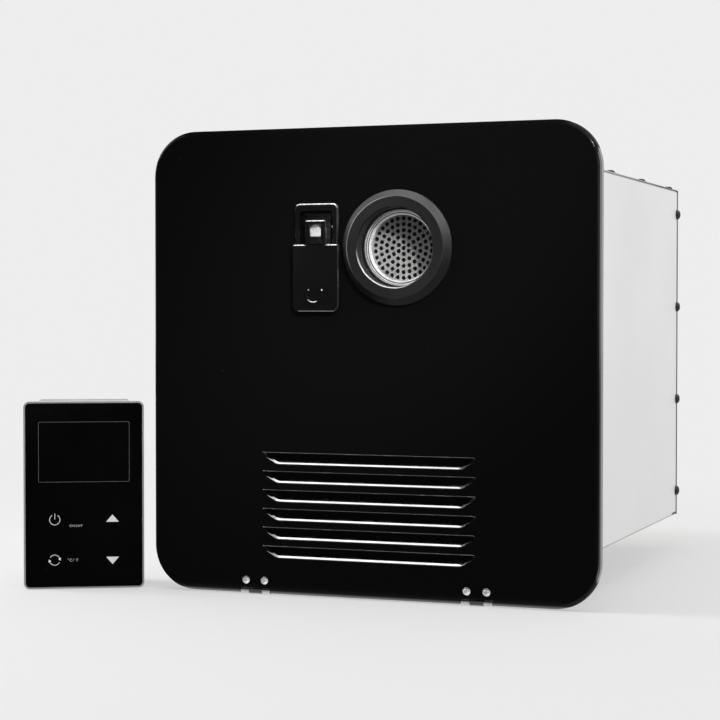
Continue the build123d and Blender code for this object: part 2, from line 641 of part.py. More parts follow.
with BuildPart() as latch_slide:
    with BuildSketch(facing(BEZEL_FRONT - SLIDE_GAP)):
        with Locations((LATCH_X, SLIDE_MIDDLE)):
            RectangleRounded(SLIDE_WIDTH, SLIDE_HEIGHT, SLIDE_CORNER)
            with Locations((0, SLIDE_HEIGHT / 4)):
                Rectangle(SLIDE_WIDTH, SLIDE_HEIGHT / 2)
        with Locations((LATCH_X, SLIDE_TOP + NECK_HEIGHT / 2)):
            Rectangle(NECK_WIDTH, NECK_HEIGHT)
        with Locations((LATCH_X, SLIDE_TOP + KEEPER_SLOT_HEIGHT / 2)):
            Rectangle(KEEPER_SLOT_WIDTH, KEEPER_SLOT_HEIGHT, mode=Mode.SUBTRACT)
    extrude(amount=SLIDE_THICK)
    chamfer(latch_slide.faces().sort_by(Axis.Y)[0].outer_wire().edges(), SLIDE_BEVEL)
    # thumb ridge
    with BuildSketch(facing(SLIDE_FRONT)):
        with BuildLine(mode=Mode.PRIVATE) as grip_line:
            CenterArc((LATCH_X - GRIP_SHIFT, SLIDE_TOP - GRIP_DROP), GRIP_R, GRIP_START, GRIP_SWEEP)
        SlotArc(grip_line.edge(), GRIP_WIDTH)
    extrude(amount=GRIP_PROUD)
    # two guide studs with low heads
    with Locations(*[Location((x, SLIDE_FRONT - STUD_HEAD, STUD_Z), (-90, 0, 0)) for x in STUD_XS]):
        Cylinder(STUD_R, RETAINER_BACK + STUD_TAIL - SLIDE_FRONT + STUD_HEAD,
                 align=(Align.CENTER, Align.CENTER, Align.MIN))
save(latch_slide, "latch_slide")

with BuildPart() as latch_retainer:
    with BuildSketch(facing(RETAINER_FRONT)):
        with Locations((LATCH_X, STUD_Z)):
            RectangleRounded(RETAINER_WIDTH, RETAINER_HEIGHT, RETAINER_CORNER)
        with Locations(*[(x, STUD_Z) for x in STUD_XS]):
            Circle(STUD_R + HOLE_GAP, mode=Mode.SUBTRACT)
    extrude(amount=-RETAINER_THICK)
    # lip that the spring stands on
    with Locations((LATCH_X, RETAINER_BACK, STUD_Z + RETAINER_HEIGHT / 2)):
        Box(SPRING_WIDTH, SPRING_DEPTH, SHEET, align=(Align.CENTER, Align.MIN, Align.MAX))
save(latch_retainer, "latch_retainer")

with BuildPart() as latch_spring:
    with BuildSketch(facing(RETAINER_BACK)):
        with BuildLine():
            rise = (SPRING_TOP - SPRING_BOTTOM - SPRING_WIRE) / SPRING_FOLDS
            Polyline(*[
                (LATCH_X + (-1) ** fold * (SPRING_WIDTH / 2 - SPRING_WIRE),
                 SPRING_BOTTOM + SPRING_WIRE / 2 + fold * rise)
                for fold in range(SPRING_FOLDS + 1)
            ])
        trace(line_width=SPRING_WIRE)
    extrude(amount=SPRING_GAP - SPRING_DEPTH)
save(latch_spring, "latch_spring")

# ---------------------------------------------------------------- hinges
EAR_LENGTH = (HINGE_LENGTH - HINGE_MIDDLE) / 2 - HINGE_KNUCKLE_GAP
EAR_MIDDLE = (HINGE_MIDDLE + HINGE_LENGTH) / 4 + HINGE_KNUCKLE_GAP / 2
EAR_XS = [x + side * EAR_MIDDLE for x in HINGE_XS for side in (-1, 1)]
RIVET_XS = [x + side * RIVET_SPACING / 2 for x in HINGE_XS for side in (-1, 1)]
KNUCKLE_PLACES = [Location((x, HINGE_Y, HINGE_Z), (0, 90, 0)) for x in HINGE_XS]

with BuildPart() as hinge_door_leaves:
    with Locations(*[(x, DOOR_INSIDE, HINGE_Z + LEAF_STANDOFF) for x in HINGE_XS]):
        Box(HINGE_LENGTH, HINGE_LEAF, HINGE_LEAF_HEIGHT - LEAF_STANDOFF,
            align=(Align.CENTER, Align.MIN, Align.MIN))
    with Locations(*[(x, DOOR_INSIDE, HINGE_Z) for x in EAR_XS]):
        Box(EAR_LENGTH, HINGE_LEAF, HINGE_LEAF_HEIGHT / 2, align=(Align.CENTER, Align.MIN, Align.MIN))
    with Locations(*[Location((x, HINGE_Y, HINGE_Z), (0, 90, 0)) for x in EAR_XS]):
        Cylinder(HINGE_KNUCKLE_R, EAR_LENGTH)
        Cylinder(HINGE_PIN_R + SHAFT_GAP, EAR_LENGTH + 1, mode=Mode.SUBTRACT)
    with Locations(*[Location((x, DOOR_INSIDE, RIVET_Z), (90, 0, 0)) for x in RIVET_XS]):
        Cylinder(RIVET_R + HOLE_GAP, 4 * HINGE_LEAF, mode=Mode.SUBTRACT)
save(hinge_door_leaves, "hinge_door_leaves")

with BuildPart() as hinge_frame_leaves:
    with Locations(*KNUCKLE_PLACES):
        Cylinder(HINGE_KNUCKLE_R, HINGE_MIDDLE)
    with Locations(*[(x, HINGE_Y, HINGE_Z - HINGE_KNUCKLE_R) for x in HINGE_XS]):
        Box(HINGE_MIDDLE, -FLANGE_THICK - HINGE_Y, HINGE_LEAF, align=(Align.CENTER, Align.MIN, Align.MIN))
    with Locations(*[(x, -FLANGE_THICK, HINGE_Z - HINGE_KNUCKLE_R) for x in HINGE_XS]):
        Box(HINGE_LENGTH, HINGE_LEAF, HINGE_LEAF_HEIGHT, align=(Align.CENTER, Align.MAX, Align.MIN))
    with Locations(*KNUCKLE_PLACES):
        Cylinder(HINGE_PIN_R + SHAFT_GAP, HINGE_LENGTH, mode=Mode.SUBTRACT)
    with Locations(*[Location((x, -FLANGE_THICK, RIVET_Z), (90, 0, 0)) for x in RIVET_XS]):
        Cylinder(RIVET_R + HOLE_GAP, 4 * HINGE_LEAF, mode=Mode.SUBTRACT)
save(hinge_frame_leaves, "hinge_frame_leaves")

with BuildPart() as hinge_pins:
    with Locations(*KNUCKLE_PLACES):
        Cylinder(HINGE_PIN_R, HINGE_LENGTH)
save(hinge_pins, "hinge_pins")

with BuildPart() as door_rivets:
    places = [Location((x, DOOR_FRONT, RIVET_Z), (90, 0, 0)) for x in RIVET_XS]
    with Locations(*places):
        Cone(RIVET_HEAD_R, RIVET_CROWN_R, RIVET_HEAD_H, align=(Align.CENTER, Align.CENTER, Align.MIN))
        Cylinder(RIVET_R, SHEET + HINGE_LEAF + RIVET_TAIL, align=(Align.CENTER, Align.CENTER, Align.MAX))
    with Locations(*[Location((x, DOOR_INSIDE + HINGE_LEAF, RIVET_Z), (90, 0, 0)) for x in RIVET_XS]):
        Cylinder(RIVET_TAIL_R, RIVET_TAIL, align=(Align.CENTER, Align.CENTER, Align.MAX))
save(door_rivets, "hinge_door_rivets")

with BuildPart() as frame_rivets:
    with Locations(*[Location((x, -FLANGE_THICK - HINGE_LEAF, RIVET_Z), (90, 0, 0)) for x in RIVET_XS]):
        Cylinder(RIVET_TAIL_R, RIVET_TAIL, align=(Align.CENTER, Align.CENTER, Align.MIN))
        Cylinder(RIVET_R, FLANGE_THICK + HINGE_LEAF, align=(Align.CENTER, Align.CENTER, Align.MAX))
save(frame_rivets, "hinge_frame_rivets")

# ---------------------------------------------------------------- exhaust tube and screen
def across(x, z, y, depth, radius, mode=Mode.ADD):
    """Cylinder lying along Y from depth y back by depth."""
    with Locations(Location((x, y, z), (-90, 0, 0))):
        Cylinder(radius, depth, align=(Align.CENTER, Align.CENTER, Align.MIN), mode=mode)


with BuildPart() as exhaust_tube:
    tube_length = VOLUTE_MOUTH + SHEET - TUBE_FRONT
    across(EXHAUST_X, EXHAUST_Z, TUBE_FRONT, tube_length, TUBE_R)
    across(EXHAUST_X, EXHAUST_Z, TUBE_FRONT, tube_length, TUBE_R - TUBE_WALL, Mode.SUBTRACT)
save(exhaust_tube, "exhaust_tube")

with BuildPart() as exhaust_screen:
    cup_front = TUBE_FRONT + SCREEN_CUP_SETBACK
    cup_r = TUBE_R - TUBE_WALL - HOLE_GAP
    across(EXHAUST_X, EXHAUST_Z, cup_front, SCREEN_FRONT + SCREEN_THICK - cup_front, cup_r)
    across(EXHAUST_X, EXHAUST_Z, cup_front, SCREEN_FRONT - cup_front, cup_r - SCREEN_CUP_WALL, Mode.SUBTRACT)
    with BuildSketch(facing(SCREEN_FRONT)):
        with Locations((EXHAUST_X, EXHAUST_Z)):
            Circle(SCREEN_HOLE_R)
            for ring in range(1, SCREEN_RINGS + 1):
                with PolarLocations(ring * SCREEN_HOLE_SPACING, 6 * ring, start_angle=90):
                    Circle(SCREEN_HOLE_R)
    extrude(amount=-SCREEN_THICK, mode=Mode.SUBTRACT)
save(exhaust_screen, "exhaust_screen")

# ---------------------------------------------------------------- service panel
with BuildPart() as service_panel:
    panel_width = COLLAR_WIDTH - 2 * SHEET - 2 * FIT
    panel_height = COLLAR_HEIGHT - 2 * SHEET - 2 * FIT
    with BuildSketch(facing(SERVICE_BACK)):
        with Locations((0, INNER_MIDDLE)):
            RectangleRounded(panel_width, panel_height, COLLAR_BEND)
    extrude(amount=SHEET + SERVICE_LIP)
    offset(amount=-SHEET, openings=service_panel.faces().sort_by(Axis.Y)[0])
    with BuildSketch(facing(SERVICE_BACK)):
        with Locations((EXHAUST_X, EXHAUST_Z)):
            Circle(TUBE_R + FIT)
        for slot in range(SLOT_COUNT):
            with Locations((SLOT_X, SLOT_Z + (slot - (SLOT_COUNT - 1) / 2) * SLOT_SPACING)):
                SlotOverall(SLOT_LENGTH, SLOT_WIDTH)
        with Locations((SWITCH_X, SWITCH_Z)):
            Rectangle(SWITCH_WIDTH, SWITCH_HEIGHT)
        with Locations((COLD_X, PORT_Z), (HOT_X, PORT_Z)):
            Circle(DRAIN_PIPE_R + FIT)
    extrude(amount=SHEET, mode=Mode.SUBTRACT)
save(service_panel, "service_panel")

with BuildPart() as latch_keeper:
    with BuildSketch(facing(SERVICE_SETBACK)):
        with Locations((LATCH_X, KEEPER_TOP - KEEPER_HEIGHT / 2)):
            RectangleRounded(KEEPER_WIDTH + 2 * KEEPER_FOOT_RIM, KEEPER_HEIGHT + 2 * KEEPER_FOOT_RISE,
                             KEEPER_FOOT_CORNER)
    extrude(amount=SLIDE_THICK)
    with BuildSketch(facing(SERVICE_SETBACK - SLIDE_THICK)):
        with Locations((LATCH_X, KEEPER_TOP - KEEPER_WIDTH / 2)):
            Circle(KEEPER_WIDTH / 2)
        with Locations((LATCH_X, KEEPER_TOP - (KEEPER_HEIGHT + KEEPER_WIDTH / 2) / 2)):
            Rectangle(KEEPER_WIDTH, KEEPER_HEIGHT - KEEPER_WIDTH / 2)
    extrude(amount=SERVICE_SETBACK - SLIDE_THICK - KEEPER_TIP)
save(latch_keeper, "latch_keeper")

with BuildPart() as switch_body:
    with BuildSketch(facing(SERVICE_SETBACK)):
        with Locations((SWITCH_X, SWITCH_Z)):
            RectangleRounded(SWITCH_WIDTH + 2 * SWITCH_RIM, SWITCH_HEIGHT + 2 * SWITCH_RIM, SWITCH_CORNER)
    extrude(amount=SWITCH_BEZEL)
    with Locations((SWITCH_X, SERVICE_SETBACK, SWITCH_Z)):
        Box(SWITCH_WIDTH - 2 * HOLE_GAP, SWITCH_BODY_DEPTH, SWITCH_HEIGHT - 2 * HOLE_GAP,
            align=(Align.CENTER, Align.MIN, Align.CENTER))
    with Locations((SWITCH_X, SERVICE_SETBACK - SWITCH_BEZEL, SWITCH_Z)):
        Box(ROCKER_WIDTH + 2 * FIT, SWITCH_POCKET, ROCKER_HEIGHT + 2 * ROCKER_GAP,
            align=(Align.CENTER, Align.MIN, Align.CENTER), mode=Mode.SUBTRACT)
    with Locations(Location((SWITCH_X, ROCKER_Y, SWITCH_Z), (0, 90, 0))):
        Cylinder(ROCKER_AXLE_R + SHAFT_GAP, SWITCH_WIDTH - 2 * ROCKER_AXLE_WALL, mode=Mode.SUBTRACT)
save(switch_body, "switch_body")

with BuildPart() as switch_rocker:
    with Locations(Location((SWITCH_X, ROCKER_Y, SWITCH_Z), (ROCKER_TILT, 0, 0))):
        Box(ROCKER_WIDTH, ROCKER_THICK, ROCKER_HEIGHT)
    with Locations(Location((SWITCH_X, ROCKER_Y, SWITCH_Z), (0, 90, 0))):
        Cylinder(ROCKER_AXLE_R, SWITCH_WIDTH - 2 * ROCKER_AXLE_WALL - 2 * HOLE_GAP)
    chamfer(switch_rocker.edges().filter_by(Axis.X).sort_by(Axis.Y)[:1], ROCKER_EDGE)
save(switch_rocker, "switch_rocker")

# ---------------------------------------------------------------- burner, exchanger, hood
def duct(width, depth, height, base, wall, floor=False):
    """Four-walled sheet duct on the core's centre line, open at the top."""
    with BuildPart(mode=Mode.PRIVATE) as walls:
        with Locations((CORE_X, CORE_Y, base)):
            Box(width + 2 * wall, depth + 2 * wall, height, align=(Align.CENTER, Align.CENTER, Align.MIN))
        with Locations((CORE_X, CORE_Y, base + (wall if floor else 0))):
            Box(width, depth, height, align=(Align.CENTER, Align.CENTER, Align.MIN), mode=Mode.SUBTRACT)
    return walls.part


BAR_SPACING = CORE_WIDTH / BURNER_BARS
BAR_XS = [CORE_X + (bar - (BURNER_BARS - 1) / 2) * BAR_SPACING for bar in range(BURNER_BARS)]
NOZZLE_Z = BURNER_BASE + BURNER_HEIGHT / 2
TUBE_YS = [CORE_Y + (row - (CORE_TUBE_COUNT - 1) / 2) * CORE_TUBE_SPACING for row in range(CORE_TUBE_COUNT)]

with BuildPart() as burner_tray:
    add(duct(CORE_WIDTH, CORE_DEPTH, BURNER_HEIGHT, BURNER_BASE, SHEET, floor=True))
    for bar_x in BAR_XS:
        across(bar_x, NOZZLE_Z, CORE_FRONT - 2 * SHEET, 3 * SHEET, NOZZLE_R + FIT, Mode.SUBTRACT)
    # four legs down to the casing's floor
    leg_x = CORE_WIDTH / 2 - LEG_WIDTH
    leg_y = CORE_DEPTH / 2 - LEG_WIDTH
    with Locations((CORE_X, CORE_Y, INNER_BOTTOM)), GridLocations(2 * leg_x, 2 * leg_y, 2, 2):
        Box(LEG_WIDTH, SHEET * 2, BURNER_BASE - INNER_BOTTOM, align=(Align.CENTER, Align.CENTER, Align.MIN))
save(burner_tray, "burner_tray")

with BuildPart() as burner_bars:
    with Locations(*[(x, CORE_Y, BURNER_BASE + SHEET) for x in BAR_XS]):
        Box(BURNER_BAR_THICK, CORE_DEPTH - 2 * FIT, BURNER_HEIGHT - 4 * SHEET,
            align=(Align.CENTER, Align.CENTER, Align.MIN))
    # flame ports along the top of each bar
    bar_top = BURNER_BASE + BURNER_HEIGHT - 3 * SHEET
    with Locations(*[(x, CORE_Y, bar_top) for x in BAR_XS]):
        Box(FLAME_SLOT, CORE_DEPTH - 4 * FLAME_SLOT, FLAME_SLOT_DEPTH,
            align=(Align.CENTER, Align.CENTER, Align.MAX), mode=Mode.SUBTRACT)
save(burner_bars, "burner_bars")

with BuildPart() as combustion_chamber:
    add(duct(CORE_WIDTH, CORE_DEPTH, CHAMBER_HEIGHT, CHAMBER_BASE, SHEET))
    for x in (CORE_X - ELECTRODE_SPREAD, CORE_X + ELECTRODE_SPREAD):
        across(x, ELECTRODE_Z, CORE_FRONT - 2 * SHEET, 3 * SHEET, ELECTRODE_R + FIT, Mode.SUBTRACT)
save(combustion_chamber, "combustion_chamber")

with BuildPart() as exchanger_fins:
    fin_spacing = (CORE_WIDTH - 2 * FIT - FIN_THICK) / (FIN_COUNT - 1)
    with Locations(*[(CORE_X + (fin - (FIN_COUNT - 1) / 2) * fin_spacing, CORE_Y, CORE_TUBE_Z)
                     for fin in range(FIN_COUNT)]):
        Box(FIN_THICK, CORE_DEPTH - 2 * FIT, CORE_HEIGHT)
    with Locations(*[Location((CORE_X, y, CORE_TUBE_Z), (0, 90, 0)) for y in TUBE_YS]):
        Cylinder(WATER_PIPE_R + HOLE_GAP, CORE_WIDTH, mode=Mode.SUBTRACT)
save(exchanger_fins, "exchanger_fins")

with BuildPart() as exchanger_shell:
    add(duct(CORE_WIDTH, CORE_DEPTH, CORE_HEIGHT, CORE_BASE, SHEET))
    with Locations(*[Location((CORE_X, y, CORE_TUBE_Z), (0, 90, 0)) for y in TUBE_YS]):
        Cylinder(WATER_PIPE_R + HOLE_GAP, CORE_WIDTH + 4 * SHEET, mode=Mode.SUBTRACT)
save(exchanger_shell, "exchanger_shell")


def pipe(points, bend, radius):
    """Solid round pipe along straight runs joined by tangent bends."""
    with BuildPart(mode=Mode.PRIVATE) as run:
        with BuildLine():
            path = FilletPolyline(*points, radius=bend) if len(points) > 2 else Line(*points)
        with BuildSketch(Plane(origin=path @ 0, z_dir=path % 0)):
            Circle(radius)
        sweep()
    return run.part


with BuildPart() as exchanger_tube:
    right = CORE_X + CORE_WIDTH / 2 + SHEET + CORE_TUBE_REACH
    left = 2 * CORE_X - right
    with BuildLine():
        for row, y in enumerate(TUBE_YS):
            start, end = ((right, left) if row % 2 == 0 else (left, right))
            Line((start, y, CORE_TUBE_Z), (end, y, CORE_TUBE_Z))
            if row < CORE_TUBE_COUNT - 1:
                bulge = end + (-1) ** (row + 1) * CORE_TUBE_SPACING / 2
                ThreePointArc((end, y, CORE_TUBE_Z), (bulge, y + CORE_TUBE_SPACING / 2, CORE_TUBE_Z),
                              (end, y + CORE_TUBE_SPACING, CORE_TUBE_Z))
    with BuildSketch(Plane(origin=(right, TUBE_YS[0], CORE_TUBE_Z), z_dir=(-1, 0, 0))):
        Circle(WATER_PIPE_R)
    sweep()
save(exchanger_tube, "exchanger_tube")

with BuildPart() as flue_hood:
    for inset, mode in ((0, Mode.ADD), (SHEET, Mode.SUBTRACT)):
        with BuildSketch(Plane.XY.offset(CORE_TOP)):
            with Locations((CORE_X, CORE_Y)):
                Rectangle(CORE_WIDTH + 2 * SHEET - 2 * inset, CORE_DEPTH + 2 * SHEET - 2 * inset)
        with BuildSketch(Plane.XY.offset(VOLUTE_BASE)):
            with Locations((CORE_X, CORE_Y)):
                Rectangle(HOOD_THROAT - 2 * inset, HOOD_THROAT - 2 * inset)
        loft(mode=mode)
save(flue_hood, "flue_hood")

# ---------------------------------------------------------------- blower
with BuildPart() as volute_housing:
    with BuildSketch(Plane.XY.offset(VOLUTE_BASE)) as scroll:
        with BuildLine():
            x_right = CORE_X + VOLUTE_R
            x_mouth = 2 * EXHAUST_X - x_right
            back_r = (VOLUTE_R + VOLUTE_TONGUE_R) / 2
            Line((x_right, VOLUTE_MOUTH), (x_right, CORE_Y))
            CenterArc((x_right - back_r, CORE_Y), back_r, 0, 180)
            CenterArc((CORE_X, CORE_Y), VOLUTE_TONGUE_R, 180, 90)
            Polyline((CORE_X, CORE_Y - VOLUTE_TONGUE_R), (x_mouth, CORE_Y - VOLUTE_TONGUE_R),
                     (x_mouth, VOLUTE_MOUTH), (x_right, VOLUTE_MOUTH))
        make_face()
    extrude(amount=VOLUTE_HEIGHT)
    with BuildSketch(Plane.XY.offset(VOLUTE_BASE + SHEET)):
        add(scroll.sketch)
        offset(amount=-SHEET, mode=Mode.REPLACE)
    extrude(amount=VOLUTE_HEIGHT - 2 * SHEET, mode=Mode.SUBTRACT)
    with Locations((CORE_X, CORE_Y, VOLUTE_BASE)):
        Cylinder(VOLUTE_INLET_R, 4 * SHEET, mode=Mode.SUBTRACT)
    with Locations((CORE_X, CORE_Y, VOLUTE_TOP)):
        Cylinder(SHAFT_R + SHAFT_HOLE_GAP, 4 * SHEET, mode=Mode.SUBTRACT)
    across(EXHAUST_X, EXHAUST_Z, VOLUTE_MOUTH - SHEET, 3 * SHEET, TUBE_R + HOLE_GAP, Mode.SUBTRACT)
save(volute_housing, "volute_housing")

with BuildPart() as blower_impeller:
    wheel_base = EXHAUST_Z - IMPELLER_HEIGHT / 2
    with BuildSketch(Plane.XY.offset(wheel_base)):
        with Locations((CORE_X, CORE_Y)):
            Circle(IMPELLER_R)
            Circle(IMPELLER_R - IMPELLER_BLADE_DEPTH, mode=Mode.SUBTRACT)
    extrude(amount=SHEET)
    with Locations((CORE_X, CORE_Y, wheel_base + IMPELLER_HEIGHT)):
        Cylinder(IMPELLER_R, SHEET, align=(Align.CENTER, Align.CENTER, Align.MAX))
        Cylinder(IMPELLER_HUB_R, IMPELLER_HEIGHT / 2, align=(Align.CENTER, Align.CENTER, Align.MAX))
    with BuildSketch(Plane.XY.offset(wheel_base)):
        with Locations((CORE_X, CORE_Y)):
            with PolarLocations(IMPELLER_R - IMPELLER_BLADE_DEPTH / 2 - SHEET / 2, IMPELLER_BLADES):
                Rectangle(IMPELLER_BLADE_DEPTH - SHEET, SHEET, rotation=BLADE_LEAN)
    extrude(amount=IMPELLER_HEIGHT)
    with Locations((CORE_X, CORE_Y, EXHAUST_Z)):
        Cylinder(SHAFT_R + SHAFT_GAP, 2 * IMPELLER_HEIGHT, mode=Mode.SUBTRACT)
save(blower_impeller, "blower_impeller")

with BuildPart() as blower_shaft:
    with Locations((CORE_X, CORE_Y, EXHAUST_Z)):
        Cylinder(SHAFT_R, VOLUTE_TOP + SHAFT_DEPTH - EXHAUST_Z, align=(Align.CENTER, Align.CENTER, Align.MIN))
save(blower_shaft, "blower_shaft")

with BuildPart() as blower_motor:
    with Locations((CORE_X, CORE_Y, VOLUTE_TOP)):
        Cylinder(MOTOR_R, MOTOR_HEIGHT, align=(Align.CENTER, Align.CENTER, Align.MIN))
        Cylinder(SHAFT_R + SHAFT_GAP, SHAFT_DEPTH + FIT, align=(Align.CENTER, Align.CENTER, Align.MIN),
                 mode=Mode.SUBTRACT)
    chamfer(blower_motor.edges().group_by(Axis.Z)[-1], MOTOR_BEVEL)
save(blower_motor, "blower_motor")

# ---------------------------------------------------------------- ignition
with BuildPart() as ignition_electrodes:
    for x in (CORE_X - ELECTRODE_SPREAD, CORE_X + ELECTRODE_SPREAD):
        across(x, ELECTRODE_Z, CORE_FRONT - SHEET - ELECTRODE_STEM, ELECTRODE_STEM, 2 * ELECTRODE_R)
        across(x, ELECTRODE_Z, CORE_FRONT - SHEET, ELECTRODE_REACH, ELECTRODE_R)
save(ignition_electrodes, "ignition_electrodes")

with BuildPart() as igniter_module:
    with Locations((CORE_X, CORE_FRONT - SHEET, CHAMBER_BASE + CHAMBER_HEIGHT / 2)):
        Box(*IGNITER_SIZE, align=(Align.CENTER, Align.MAX, Align.MIN))
    fillet(igniter_module.edges().filter_by(Axis.Y), IGNITER_CORNER)
save(igniter_module, "igniter_module")

# ---------------------------------------------------------------- gas train
def port_fitting(x):
    """Threaded port through the rear panel with a hexagon nut outside it."""
    with BuildPart() as fitting:
        with BuildSketch(facing(BODY_DEPTH)):
            with Locations((x, PORT_Z)):
                RegularPolygon(PORT_NUT_R, 6)
        extrude(amount=-PORT_NUT_LENGTH)
        outer_end = BODY_DEPTH + PORT_NUT_LENGTH + PORT_THREAD_LENGTH
        across(x, PORT_Z, PORT_INNER, outer_end - PORT_INNER, PORT_THREAD_R)
        across(x, PORT_Z, outer_end - PORT_BORE_DEPTH, PORT_BORE_DEPTH + 1, PORT_BORE_R, Mode.SUBTRACT)
    return fitting


save(port_fitting(GAS_X), "gas_inlet_fitting")
save(port_fitting(COLD_X), "cold_inlet_fitting")
save(port_fitting(HOT_X), "hot_outlet_fitting")

VALVE_X = GAS_X
VALVE_REAR = VALVE_FRONT + VALVE_SIZE[1]
VALVE_TOP = INNER_BOTTOM + VALVE_SIZE[2]
VALVE_MIDDLE = VALVE_FRONT + VALVE_SIZE[1] / 2
VALVE_PORT_Z = PORT_Z - VALVE_PORT_DROP
with BuildPart() as gas_valve:
    with Locations((VALVE_X, VALVE_FRONT, INNER_BOTTOM)):
        Box(*VALVE_SIZE, align=(Align.CENTER, Align.MIN, Align.MIN))
    fillet(gas_valve.edges().filter_by(Axis.Z), VALVE_CORNER)
    across(VALVE_X, VALVE_PORT_Z, VALVE_REAR - VALVE_SOCKET / 2, VALVE_SOCKET, GAS_PIPE_R + SOCKET_WALL)
    # two shut-off coils on top
    with Locations((VALVE_X, VALVE_MIDDLE, VALVE_TOP)), GridLocations(1, VALVE_SIZE[1] / 2, 1, 2):
        Cylinder(COIL_R, COIL_HEIGHT, align=(Align.CENTER, Align.CENTER, Align.MIN))
save(gas_valve, "gas_valve")

with BuildPart() as gas_pipe:
    socket_mouth = VALVE_REAR + VALVE_SOCKET / 2
    jog_start = VALVE_REAR + GAS_PIPE_JOG
    add(pipe([(GAS_X, socket_mouth, VALVE_PORT_Z), (GAS_X, jog_start, VALVE_PORT_Z),
              (GAS_X, jog_start + GAS_PIPE_JOG, PORT_Z), (GAS_X, PORT_INNER, PORT_Z)],
             GAS_PIPE_BEND, GAS_PIPE_R))
save(gas_pipe, "gas_pipe")

MANIFOLD_Y = CORE_FRONT - SHEET - NOZZLE_LENGTH - MANIFOLD_SIZE / 2
with BuildPart() as gas_manifold:
    manifold_left = VALVE_X + VALVE_SIZE[0] / 2 + MANIFOLD_GAP
    with Locations((manifold_left, MANIFOLD_Y, NOZZLE_Z)):
        Box(BAR_XS[-1] + MANIFOLD_SIZE - manifold_left, MANIFOLD_SIZE, MANIFOLD_SIZE,
            align=(Align.MIN, Align.CENTER, Align.CENTER))
    for bar_x in BAR_XS:
        across(bar_x, NOZZLE_Z, MANIFOLD_Y, MANIFOLD_SIZE / 2 + NOZZLE_LENGTH + SHEET, NOZZLE_R)
    # elbow up from the valve's side
    elbow_x = manifold_left + ELBOW_BEND
    add(pipe([(VALVE_X + VALVE_SIZE[0] / 2, MANIFOLD_Y, VALVE_PORT_Z),
              (elbow_x, MANIFOLD_Y, VALVE_PORT_Z),
              (elbow_x, MANIFOLD_Y, NOZZLE_Z)], ELBOW_BEND, ELBOW_R))
save(gas_manifold, "gas_manifold")

# ---------------------------------------------------------------- water train
COLD_Y = TUBE_YS[-1]
HOT_Y = TUBE_YS[0]
SENSOR_REAR = PORT_INNER - SENSOR_PIPE
SENSOR_FRONT = SENSOR_REAR - SENSOR_LENGTH

with BuildPart() as water_tees:
    for x, y in ((COLD_X, COLD_Y), (HOT_X, HOT_Y)):
        with Locations((x, y, PORT_Z)):
            Box(TEE_SIZE, TEE_SIZE, TEE_SIZE)
        # drain pipe forward through the service panel
        across(x, PORT_Z, SERVICE_SETBACK - DRAIN_STUB, y - SERVICE_SETBACK + DRAIN_STUB, DRAIN_PIPE_R)
save(water_tees, "water_tees")

with BuildPart() as cold_pipes:
    tee_rear = COLD_Y + TEE_SIZE / 2
    socket_front = SENSOR_FRONT + SENSOR_WALL
    socket_rear = SENSOR_REAR - SENSOR_WALL
    across(COLD_X, PORT_Z, tee_rear, socket_front - tee_rear, WATER_PIPE_R)
    across(COLD_X, PORT_Z, socket_rear, PORT_INNER - socket_rear, WATER_PIPE_R)
save(cold_pipes, "cold_pipes")

with BuildPart() as hot_pipe:
    across(HOT_X, PORT_Z, HOT_Y + TEE_SIZE / 2, PORT_INNER - HOT_Y - TEE_SIZE / 2, WATER_PIPE_R)
save(hot_pipe, "hot_pipe")

with BuildPart() as water_risers:
    for x, y in ((COLD_X, COLD_Y), (HOT_X, HOT_Y)):
        add(pipe([(x, y, PORT_Z + TEE_SIZE / 2), (x, y, CORE_TUBE_Z), (right, y, CORE_TUBE_Z)],
                 RISER_BEND, WATER_PIPE_R))
save(water_risers, "water_risers")

with BuildPart() as flow_sensor:
    across(COLD_X, PORT_Z, SENSOR_FRONT, SENSOR_LENGTH, SENSOR_R)
    across(COLD_X, PORT_Z, socket_front, socket_rear - socket_front, TURBINE_R + TURBINE_GAP, Mode.SUBTRACT)
    across(COLD_X, PORT_Z, SENSOR_FRONT, SENSOR_LENGTH, WATER_PIPE_R + HOLE_GAP, Mode.SUBTRACT)
save(flow_sensor, "flow_sensor")

with BuildPart() as turbine_axle:
    across(COLD_X, PORT_Z, socket_front, socket_rear - socket_front, AXLE_R)
save(turbine_axle, "turbine_axle")

with BuildPart() as flow_turbine:
    turbine_y = (SENSOR_FRONT + SENSOR_REAR - TURBINE_LENGTH) / 2
    across(COLD_X, PORT_Z, turbine_y, TURBINE_LENGTH, 2 * AXLE_R)
    with BuildSketch(facing(turbine_y)):
        with Locations((COLD_X, PORT_Z)):
            with PolarLocations((TURBINE_R + AXLE_R) / 2, TURBINE_BLADES):
                Rectangle(TURBINE_R - AXLE_R, SHEET)
    extrude(amount=-TURBINE_LENGTH)
    across(COLD_X, PORT_Z, turbine_y, TURBINE_LENGTH, AXLE_R + SHAFT_GAP, Mode.SUBTRACT)
save(flow_turbine, "flow_turbine")

with BuildPart() as drain_plugs:
    for x in (COLD_X, HOT_X):
        with BuildSketch(facing(SERVICE_SETBACK - FIT)):
            with Locations((x, PORT_Z)):
                RegularPolygon(DRAIN_PLUG_R, 6)
        extrude(amount=DRAIN_PLUG_LENGTH)
        socket_end = SERVICE_SETBACK - DRAIN_STUB
        across(x, PORT_Z, socket_end, DRAIN_STUB, DRAIN_PIPE_R + HOLE_GAP, Mode.SUBTRACT)
save(drain_plugs, "drain_plugs")

